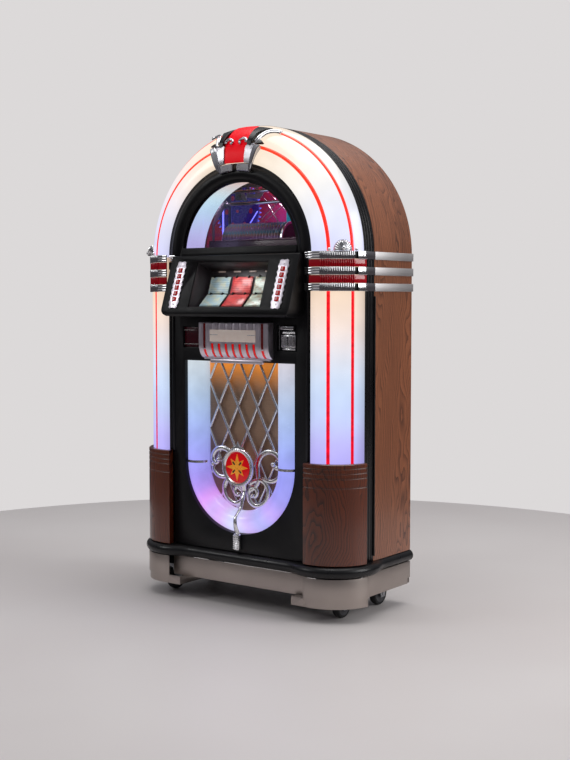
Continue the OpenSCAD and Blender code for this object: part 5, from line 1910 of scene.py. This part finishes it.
# %% Lattice, ornament and cloth
def rod_paths(lean):
    """Rods of one layer, clipped to the opening."""
    half, top, low, centre = 156 * MM, U_TOP - 1 * MM, 300 * MM, U_LOW
    slope = lean * 39 / 79
    paths = []
    for i in range(-5, 8):
        inside = []
        for k in range(241):
            z = low + (top - low) * k / 240
            x = i * 78 * MM + slope * (z - 561 * MM)
            wide = half if z > centre else sqrt(max(0.0, half ** 2 - (z - centre) ** 2))
            if abs(x) < wide:
                inside.append((x, z))
        if len(inside) > 4:
            y = -97 * MM + lean * 2.4 * MM
            paths.append([(inside[0][0], y, inside[0][1]), (inside[-1][0], y, inside[-1][1])])
    return paths


def lattice():
    meshes = []
    for lean in (-1, 1):
        values = {"Radius": 4.5 * MM, "Sides": 12, "Finish": ROD_SILVER}
        meshes.append((run_tree(path_holder(rod_paths(lean)), BAR, values), STILL))
    return stands_for(from_meshes("lattice_rods", meshes), "door", "chrome", "grille_lattice")


def star_outline(outer, inner, points=8):
    outline = []
    for i in range(points * 2):
        radius = (outer if i % 4 == 0 else outer * 0.84) if i % 2 == 0 else inner
        turn = pi / 2 + pi * i / points
        outline.append((radius * cos(turn), radius * sin(turn)))
    return outline


def scroll_lines(side):
    """Scrolls of one side, as (points, radius) in the plane of the ornament."""
    upper = [(16, 368), (36, 382), (50, 402), (48, 430), (48, 458), (62, 484), (88, 498), (116, 494),
             (134, 476), (135, 456), (121, 449), (110, 460)]
    hook = [(64, 412), (87, 406), (112, 408), (130, 422), (136, 443)]
    lower = [(16, 390), (38, 403), (66, 404), (86, 384), (86, 354), (68, 331), (40, 323), (17, 335),
             (10, 356), (17, 377), (34, 381), (45, 368), (39, 353), (28, 354)]
    lines = [(upper, 8.6), (hook, 7.2), (lower, 8.2)]
    return [([(side * x * MM, z * MM) for x, z in line], radius * MM) for line, radius in lines]


def ornament():
    face = -148 * MM
    centre_z = 447 * MM
    centre = Vector((0, face, centre_z))
    ahead = (0, -1, 0)
    rim = mm_points((49, -3), (61, -3), (62, 2), (60, 6), (56, 8), (51, 7), (48, 3))
    silver = [lathe(centre, ahead, rim, 72)]
    crown = [(-26, 57), (-17, 66), (-9, 64), (0, 82), (9, 64), (17, 66), (26, 57)]
    stand = Matrix.Translation((0, face + 3 * MM, centre_z)) @ Matrix.Rotation(radians(90), 4, "X")
    silver.append(plate_parts([[(x * MM, z * MM) for x, z in crown]], 7 * MM, 1.6 * MM, stand))
    disc = mm_points((0.0, -2), (50, -2), (50, 2), (40, 4), (20, 5.4), (0.0, 5.8))
    red = [lathe(centre, ahead, disc, 64)]
    star_at = Matrix.Translation((0, face - 4.2 * MM, centre_z)) @ Matrix.Rotation(radians(90), 4, "X")
    outlines = [star_outline(43 * MM, 19 * MM)]
    star = [plate_parts(outlines, 2.6 * MM, 0.7 * MM, star_at)]
    slots = []
    for turn in (45, 135, 225, 315):
        spin = Matrix.Rotation(radians(turn), 4, "Z")
        slot = mm_points((11, -1.8), (22, -3.2), (25, 0), (22, 3.2), (11, 1.8))
        lift = Matrix.Translation(mm(0, 0, 2.3))
        slots.append(plate_parts([slot], 0.8 * MM, 0.2 * MM, star_at @ spin @ lift))
    for side in (-1, 1):
        for line, radius in scroll_lines(side):
            points = [Vector((x, -109 * MM, z)) for x, z in line]
            path = smooth_path(points, 7)
            thin = [0.75 + 0.25 * sin(pi * i / (len(path) - 1)) for i in range(len(path))]
            silver.append(tube_parts(path, radius, 14, 0.5, thin))
            silver.append(ball_parts(points[-1], radius * 1.05))
    stem = [(0, 392, 122), (0, 366, 118), (2, 345, 129), (0, 318, 134), (-3, 303, 146), (-3, 288, 159),
            (-1, 270, 163), (0, 252, 159), (0, 238, 152)]
    points = smooth_path([Vector((x * MM, -depth * MM, z * MM)) for x, z, depth in stem], 6)
    wide = [1.3 - 0.5 * sin(pi * i / (len(points) - 1)) for i in range(len(points))]
    silver.append(tube_parts(points, 7.5 * MM, 14, 0.5, wide))
    tab = block_parts(mm(-13, -161, 184), mm(13, -147.2, 236), 5 * MM)
    silver.append(tab)
    ridge = tube_parts(mm_points((-10, -161, 0), (10, -161, 0)), 2.2 * MM, 10)
    ridges = in_a_row([ridge], 7, mm(0, 0, 190), mm(0, 0, 6.6), CHROME)
    bead_profile = mm_points((0, -2), (2.4, -1), (2.6, 0.8), (1.6, 2.2), (0, 2.7))
    bead = lathe(mm(57.5, 0, 7), (0, 0, 1), bead_profile, 12)
    beads = in_a_ring([bead], 44, 0, 360 / 44, SATIN_CHROME)
    clips = []
    for side in (-1, 1):
        edges = sorted((side * 140 * MM, side * 226 * MM))
        section = [(U_MID - 37.6 * MM * cos(a), 121 * MM + 37.6 * MM * sin(a))
                   for a in [pi * (0.03 + 0.94 * i / 24) for i in range(25)]]
        section += [(U_MID - 36.4 * MM * cos(a), 121 * MM + 36.4 * MM * sin(a))
                    for a in [pi * (0.97 - 0.94 * i / 24) for i in range(25)]]
        frames = [(Vector((0, 0, z * MM)), Vector((side, 0, 0)), Vector((0, -1, 0)), z * MM)
                  for z in (449, 457)]
        clips.append(sweep_parts(frames, section))
    to_front = Matrix.Translation(centre) @ Matrix.Rotation(radians(90), 4, "X")
    meshes = [(plain_mesh(silver + clips, ROD_SILVER), STILL), (plain_mesh(red, MEDAL_RED), STILL),
              (plain_mesh(star, STAR_GOLD), STILL), (plain_mesh(slots, INLET_BLACK), STILL),
              (beads, to_front), (ridges, STILL)]
    return stands_for(from_meshes("ornament_finished", meshes), "door", "chrome", "grille_ornament")


def grille_cloth():
    low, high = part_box("speaker_cloth")
    across, up = 28, 32
    verts, faces, uvs = [], [], []
    for layer, depth in ((0, 0.0), (1, 1.4 * MM)):
        for j in range(up + 1):
            for i in range(across + 1):
                x = low.x + (high.x - low.x) * i / across
                z = low.z + (high.z - low.z) * j / up
                edge = min(i, across - i, 6) / 6 * min(j, up - j, 6) / 6
                dip = 1.2 * MM * edge * (0.6 + 0.4 * sin(i * 0.7) * cos(j * 0.5))
                verts.append(Vector((x, low.y + 0.4 * MM + dip + depth, z)))
                uvs.append((x, z))
    wide = across + 1
    size = wide * (up + 1)
    for base in (0, size):
        for j in range(up):
            for i in range(across):
                a = base + j * wide + i
                faces.append((a, a + 1, a + wide + 1, a + wide))
    rim = [i for i in range(wide)] + [j * wide + across for j in range(1, up + 1)]
    rim += [up * wide + i for i in range(across - 1, -1, -1)] + [j * wide for j in range(up - 1, 0, -1)]
    for a, b in zip(rim, rim[1:] + rim[:1]):
        faces.append((a, b, b + size, a + size))
    cloth = mesh_piece("grille_cloth", [(verts, faces, uvs)], [CLOTH])
    stands_for(cloth, "door", "cloth_gold", "speaker_cloth")
    return cloth


lattice()
ornament()
grille_cloth()

# %% [markdown]
# ## Disc mechanism behind the window
# A slotted rack holds the discs on edge. Above it the carriage slides on two rods in front of a
# toothed disc and a rayed backdrop. A few brackets, a wire guide and small lamps fill the rest.


# %% Backdrop, toothed disc, discs and frame
def facing_front(y):
    """Places a drawing in (x, z) at a depth, with its thickness towards the front."""
    return Matrix.Translation((0, y, 0)) @ Matrix.Rotation(radians(90), 4, "X")


def facing_side(x):
    """Places a drawing in (y, z) at a distance from the middle, with its thickness along +x."""
    turn = Matrix(((0, 0, 1, 0), (1, 0, 0, 0), (0, 1, 0, 0), (0, 0, 0, 1)))
    return Matrix.Translation((x, 0, 0)) @ turn


def toothed_disc():
    low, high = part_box("toothed_disc")
    centre = (low + high) / 2
    radius = (high.x - low.x) / 2
    front = low.y
    outline = []
    for i in range(40):
        for share, reach in (mm(0.0, 13), (0.2, 10 * MM), (0.5, 0.3 * MM), (0.8, 10 * MM)):
            turn = tau * (i + share) / 40
            outline.append(((radius - reach) * cos(turn), (radius - reach) * sin(turn)))
    hole = circle_points(0, 0, 5.6 * MM, 32)
    slots = [circle_points(x, y, 9 * MM, 24) for x, y in circle_points(0, 0, 52 * MM, 6)]
    stand = Matrix.Translation((centre.x, high.y, centre.z)) @ Matrix.Rotation(radians(90), 4, "X")
    disc = plate_parts([outline, hole] + slots, 4 * MM, 0.5 * MM, stand)
    hub_y = high.y - 4 * MM
    hub = lathe((centre.x, hub_y, centre.z), (0, -1, 0),
                mm_points((5.6, 0), (16, 0), (16, 3.4), (14.5, 4.8), (5.6, 4.8)), 40)
    print("toothed disc front", round(front, 4), "radius", round(radius, 4))
    return stands_for(mesh_piece("toothed_disc_finished", [disc, hub], [TOOTH_BLUE]), "toothed_disc",
                      "tooth_blue", "toothed_disc")


def disc_row():
    """Twenty discs on edge, each with a bead round its rim and a raised label."""
    low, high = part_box("discs")
    centre_y, centre_z = (low.y + high.y) / 2, (low.z + high.z) / 2
    radius = (high.z - low.z) / 2
    profile = [mm(7.6, -0.5), mm(24, -0.5), mm(25, -0.3), (radius - 1.2 * MM, -0.3 * MM),
               (radius, -0.55 * MM), (radius, 0.55 * MM), (radius - 1.2 * MM, 0.3 * MM), mm(25, 0.3),
               mm(24, 0.5), mm(7.6, 0.5)]
    one = lathe((0, 0, 0), (1, 0, 0), profile, 72)
    first = low.x + 0.6 * MM
    step = (high.x - low.x - 1.2 * MM) / 19
    row = in_a_row([one], 20, (first, centre_y, centre_z), (step, 0, 0), DISC_SILVER)
    return stands_for(from_meshes("disc_row", [(row, STILL)]), "cabinet", "disc_silver", "discs")


def mech_parts():
    """Fixed parts of the mechanism, as (steel, dark, bright, glowing) parts."""
    y0, y1, top = 30 * MM, 128 * MM, 1352 * MM
    shelf = 1104 * MM
    steel, dark, bright, glow = [], [], [], []
    outline = [(y0, shelf), (y1, shelf), (y1, top - 8 * MM), (y1 - 8 * MM, top), (y0 + 62 * MM, top),
               (y0, top - 120 * MM)]
    hole = [(y0 + 10 * MM, shelf + 12 * MM), (y1 - 12 * MM, shelf + 12 * MM), (y1 - 12 * MM, top - 70 * MM),
            (y0 + 64 * MM, top - 70 * MM), (y0 + 10 * MM, top - 126 * MM)]
    for x in mm(-250, 247):
        steel.append(plate_parts([outline, hole], 3 * MM, 0.4 * MM, facing_side(x)))
    for z in (1296, 1336):
        bright.append(lathe_bar((-247 * MM, 100 * MM, z * MM), (247 * MM, 100 * MM, z * MM), 6 * MM))
        for x in mm(-246, 236):
            collar = mm_points((6, 0), (11, 0), (11, 8), (9.5, 10), (6, 10))
            steel.append(lathe((x, 100 * MM, z * MM), (1, 0, 0), collar, 24))
    for y in (17, 117):
        dark.append(block_parts((-212 * MM, y * MM, shelf), (53 * MM, (y + 14) * MM, 1136 * MM), 2 * MM))
    dark.append(block_parts((-212 * MM, 31 * MM, shelf), (53 * MM, 117 * MM, shelf + 8 * MM), 0.8 * MM))
    ring = mm_points((52, 0), (61, 0), (61, 4), (59.5, 5.5), (53.5, 5.5), (52, 4))
    bright.append(lathe(mm(45, 75, 1168), (1, 0, 0), ring, 72))
    plate = mm_points((0.0, 0), (52.5, 0), (52.5, 3), (0.0, 3))
    dark.append(lathe(mm(45, 75, 1168), (1, 0, 0), plate, 64))
    hub = mm_points((0, -1), (9, -1), (9, 6), (6, 14), (0, 15))
    steel.append(lathe(mm(50, 75, 1168), (1, 0, 0), hub, 28))
    steel.append(block_parts((118 * MM, 34 * MM, shelf), mm(238, 122, 1150), 4 * MM))
    deck = mm_points((0, -1), (40, -1), (40, 6), (38, 8), (0, 8))
    dark.append(lathe(mm(178, 78, 1150), (0, 0, 1), deck, 56))
    wire = mm_points((222, 110, 1150), (222, 108, 1172), (212, 96, 1176), (190, 84, 1166))
    bright.append(tube_parts(smooth_path(wire, 5), 2.6 * MM, 10))
    wires = [((-132, 122, 1226), (-20, 122, 1318)), ((-98, 122, 1234), (0, 122, 1300)),
             ((-104, 128, 1312), (-44, 128, 1228)), ((-72, 124, 1320), (10, 124, 1250)),
             ((-14, 122, 1330), (40, 122, 1236))]
    for start, end in wires:
        bright.append(lathe_bar([v * MM for v in start], [v * MM for v in end], 2.6 * MM))
    bridge = [mm_points((-176, 1318), (-120, 1312), (-84, 1352), (-100, 1384), (-176, 1384)),
              mm_points((-164, 1330), (-140, 1328), (-140, 1350), (-164, 1352)),
              mm_points((-128, 1330), (-112, 1334), (-108, 1352), (-128, 1350))]
    steel.append(plate_parts(bridge, 4 * MM, 0.6 * MM, facing_front(126 * MM)))
    turns = [tau * i / 36 for i in range(36)]
    oval = [mm(-206 + 30 * cos(t) - 12 * sin(t), 1336 + 24 * sin(t) - 16 * cos(t))
            for t in turns]
    steel.append(plate_parts([oval], 3 * MM, 0.6 * MM, facing_front(122 * MM)))
    dark.append(block_parts(mm(-230, 104, 1352), mm(-60, 128, 1372), 4 * MM))
    dark.append(block_parts(mm(-222, 117, 1310), mm(-196, 128, 1354), 3 * MM))
    glow.append(lathe_bar(mm(-282, 128, 1186), mm(-282, 128, 1300), 3 * MM))
    glow.append(lathe_bar(mm(-170, 134, 1232), mm(-138, 134, 1272), 2.6 * MM))
    return steel, dark, bright, glow


def mech_frame():
    steel, dark, bright, glow = mech_parts()
    fin = block_parts(mm(-1.1, 33, 1110), mm(1.1, 60, 1133), 0.5 * MM)
    far_fin = block_parts(mm(-1.1, 92, 1110), mm(1.1, 117, 1133), 0.5 * MM)
    fins = in_a_row([fin, far_fin], 21, mm(-202, 0, 0), mm(12, 0, 0), MECH_STEEL)
    rail = block_parts(mm(-246, 8.2, 1104), mm(246, 14, 1170), 2.2 * MM)
    rail_lip = lathe_bar(mm(-244, 9.5, 1168), mm(244, 9.5, 1168), 3 * MM)
    guide = mm_points((30, 1212), (44, 1206), (50, 1250), (40, 1290), (30, 1290))
    # The guide plate glows cyan: painted light.
    cyan = plate_parts([guide], 4 * MM, 0.8 * MM, facing_front(72 * MM))
    meshes = [(plain_mesh(steel, MECH_STEEL), STILL), (plain_mesh(dark, INLET_BLACK), STILL),
              (plain_mesh(bright, CHROME), STILL), (plain_mesh(glow, LAMP_BLUE), STILL),
              (plain_mesh([cyan], CYAN_GUIDE_GLOW), STILL), (plain_mesh([rail, rail_lip], RAIL_BROWN), STILL),
              (fins, STILL)]
    return stands_for(from_meshes("mechanism", meshes), "cabinet", "mech_steel", "mech_frame")


toothed_disc()
disc_row()
mech_frame()
softened("disc_carriage", 1.2 * MM, MECH_STEEL, "disc_carriage", "mech_steel")
softened("gripper_arm", 0.8 * MM, MECH_STEEL, "gripper_arm", "mech_steel")

# %% [markdown]
# ## Back, inside and running gear
# The back board has slots and countersunk screws, the inlet has pins, and the swivel casters have
# round treads.

# %% Screws, inlet, speakers, amplifier and casters
def cross_screw():
    """Pan head, facing +y; the dark cross on it, painted shade for the recessed cross, is a piece of its
    own.
    """
    pan = mm_points((0, -0.5), (7, -0.5), (7, 0.3), (6.2, 1.0), (3.6, 1.35), (0, 1.4))
    return lathe((0, 0, 0), (0, 1, 0), pan, 28)


def rear_screws():
    meshes = []
    low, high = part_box("rear_screws")
    for x in (low.x + 7 * MM, high.x - 7 * MM):
        for z in mm(230, 560, 880, 1100):
            turn = Matrix.Translation((x, low.y, z)) @ Matrix.Rotation(x * 3 + z * 7, 4, "Y")
            meshes.append((plain_mesh([cross_screw()], ZINC), turn))
            # A black cross on the head: painted shade for the recessed cross.
            slot = [block_parts(mm(-4, 1.1, -0.7), mm(4, 1.5, 0.7), 0.1 * MM),
                    block_parts(mm(-0.7, 1.1, -4), mm(0.7, 1.5, 4), 0.1 * MM)]
            meshes.append((plain_mesh(slot, INLET_BLACK), turn))
    return stands_for(from_meshes("rear_screws_finished", meshes), "cabinet", "nickel", "rear_screws")


def mains_inlet():
    shell = softened("mains_inlet", 1.0 * MM, INLET_BLACK, "cabinet", "inlet_plastic")
    low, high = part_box("mains_inlet")
    x, z = (low.x + high.x) / 2, (low.z + high.z) / 2
    pins = []
    for dx, dz in ((-7, -2), (0, 3), (7, -2)):
        pins.append(block_parts((x + (dx - 1) * MM, high.y - 20 * MM, z + (dz - 2) * MM),
                                (x + (dx + 1) * MM, high.y - 4 * MM, z + (dz + 2) * MM), 0.5 * MM))
    piece = mesh_piece("inlet_pins", pins, [NICKEL])
    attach(piece, "cabinet")
    return shell


rear_screws()
mains_inlet()
softened("rear_panel", 0.8 * MM, REAR_BOARD, "cabinet", "rear_board")
softened("amplifier", 2.0 * MM, AMP_GREY, "cabinet", "grey_metal")
softened("inner_boards", 1.0 * MM, INNER_BOARD, "cabinet", "rear_board")
softened("base_board", 1.5 * MM, BLACK, "cabinet", "black_board")
softened("caster_plates", 1.0 * MM, ZINC, "cabinet", "caster_steel")
for fork_side in ("left", "right"):
    softened(f"caster_fork_{fork_side}", 1.2 * MM, ZINC, f"caster_fork_{fork_side}", "caster_steel")


def wheel_piece(node):
    """A wheel with a round tread, a grooved rim and a grey hub."""
    low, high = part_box(node)
    centre = (low + high) / 2
    radius, half = (high.z - low.z) / 2, (high.x - low.x) / 2
    bore = 5.6 * MM
    tread = [(radius - 9 * MM, -half + 1.5 * MM), (radius - 3 * MM, -half + 1.5 * MM)]
    tread += [(radius - 3 * MM + 3 * MM * cos(t), (half - 4 * MM) * sin(t) * 1.2)
              for t in [radians(a) for a in range(-70, 71, 20)]]
    tread += [(radius - 3 * MM, half - 1.5 * MM), (radius - 9 * MM, half - 1.5 * MM)]
    tyre = lathe(centre, (1, 0, 0), tread, 64)
    near = [(bore, 0.0), (bore + 5 * MM, 0.0), (bore + 6 * MM, 3 * MM), (radius - 13 * MM, 4 * MM),
            (radius - 8.8 * MM, 2 * MM)]
    rim = [(r, -half + in_by) for r, in_by in near] + [(r, half - in_by) for r, in_by in reversed(near)]
    core = lathe(centre, (1, 0, 0), rim, 48)
    piece = mesh_piece(node + "_finished", [tyre, core], [RUBBER, HUB_GREY], face_material=[0, 1])
    return stands_for(piece, node, "wheel_rubber", node)


for wheel_node in ("front_wheel_left", "front_wheel_right", "rear_wheel_left", "rear_wheel_right"):
    wheel_piece(wheel_node)

# %% [markdown]
# ## CAD pieces that keep their shape
# The window, the backdrop, the speakers, the hinge leaves and the lock's cam are shown exactly as the
# CAD file has them, so they only need a finish.


# %% Finishes for the CAD pieces that stay
CAD_FINISHES = {
    "window_glass": GLASS, "backdrop": BACKDROP, "speakers": CONE_BLACK, "lock_cam": STEEL,
    "hinge_cabinet_leaf": HINGE_BLACK, "hinge_door_leaf": HINGE_BLACK,
}
for node_name, finish in CAD_FINISHES.items():
    node_mesh = cad_nodes[node_name].data
    node_mesh.materials.clear()
    node_mesh.materials.append(finish)
print("finished", len(CAD_FINISHES), "CAD pieces")

# %% [markdown]
# ## Floor, light and air
# A pale floor, a pale even background and a few large soft lamps: one overhead, one from the
# right, one in front. The background is darker in reflections than it looks directly, so that the
# chrome keeps its contrast.


# %% Floor, world and lamps
def make_floor():
    mesh = bpy.data.meshes.new("floor")
    rim = [(x, y, 0.0) for x, y in circle_points(0.0, 0.0, 2.1, 128)]
    mesh.from_pydata(rim, [], [tuple(range(128))])
    material, g, shader = new_material("pale_floor", screen(186, 178, 178), 0.45)
    tone = g.spread(g.noise(g.place(), 0.6, 3.0), 0.3, 0.7, 0.0, 1.0)
    g.wire(g.mix(tone, screen(214, 207, 205), screen(224, 219, 217)), shader["Base Color"])
    mesh.materials.append(material)
    floor = place_object("floor", mesh)
    return floor


def make_world():
    world = bpy.data.worlds.new("air")
    world.use_nodes = True
    world.node_tree.nodes.clear()
    g = Graph(world.node_tree)
    seen = g.add("ShaderNodeBackground", {"Color": screen(222, 219, 219), "Strength": 0.98})
    up = g.parts(g.place("Generated"))[2]
    tone = g.ramp(g.spread(up, -1.0, 1.0, 0.0, 1.0),
                  [(0.0, screen(120, 110, 112)), (0.5, screen(96, 92, 96)),
                   (0.72, screen(176, 176, 182)), (1.0, screen(236, 236, 240))])
    other = g.add("ShaderNodeBackground", {"Color": tone, "Strength": 0.5})
    direct = g.add("ShaderNodeLightPath").outputs["Is Camera Ray"]
    both = g.add("ShaderNodeMixShader", {0: direct, 1: other.outputs[0], 2: seen.outputs[0]})
    g.add("ShaderNodeOutputWorld", {"Surface": both.outputs[0]})
    bpy.context.scene.world = world


def soft_lamp(name, place, aim, size, power, colour=(1.0, 1.0, 1.0)):
    data = bpy.data.lights.new(name, "AREA")
    data.energy = power
    data.size = size
    data.color = colour
    lamp = bpy.data.objects.new(name, data)
    lamp.location = place
    lamp.rotation_euler = (Vector(aim) - Vector(place)).to_track_quat("-Z", "Y").to_euler()
    bpy.context.scene.collection.objects.link(lamp)
    return lamp


floor = make_floor()
make_world()
soft_lamp("overhead", (0.2, 0.2, 3.4), (0.0, 0.0, 0.8), 2.6, 62.0)
soft_lamp("right_side", (3.4, 0.9, 2.0), (0.2, 0.0, 0.8), 2.0, 52.0)
soft_lamp("front_left", (-2.6, -2.8, 2.6), (0.0, 0.0, 0.7), 1.2, 22.0)
soft_lamp("inside_window", (0.0, 0.03, 1.47), (-0.05, 0.1, 1.15), 0.12, 1.6, (1.0, 0.72, 0.95))
soft_lamp("in_the_pod", (0.0, -0.16, 1.085), (0.0, -0.14, 0.95), 0.1, 0.25)
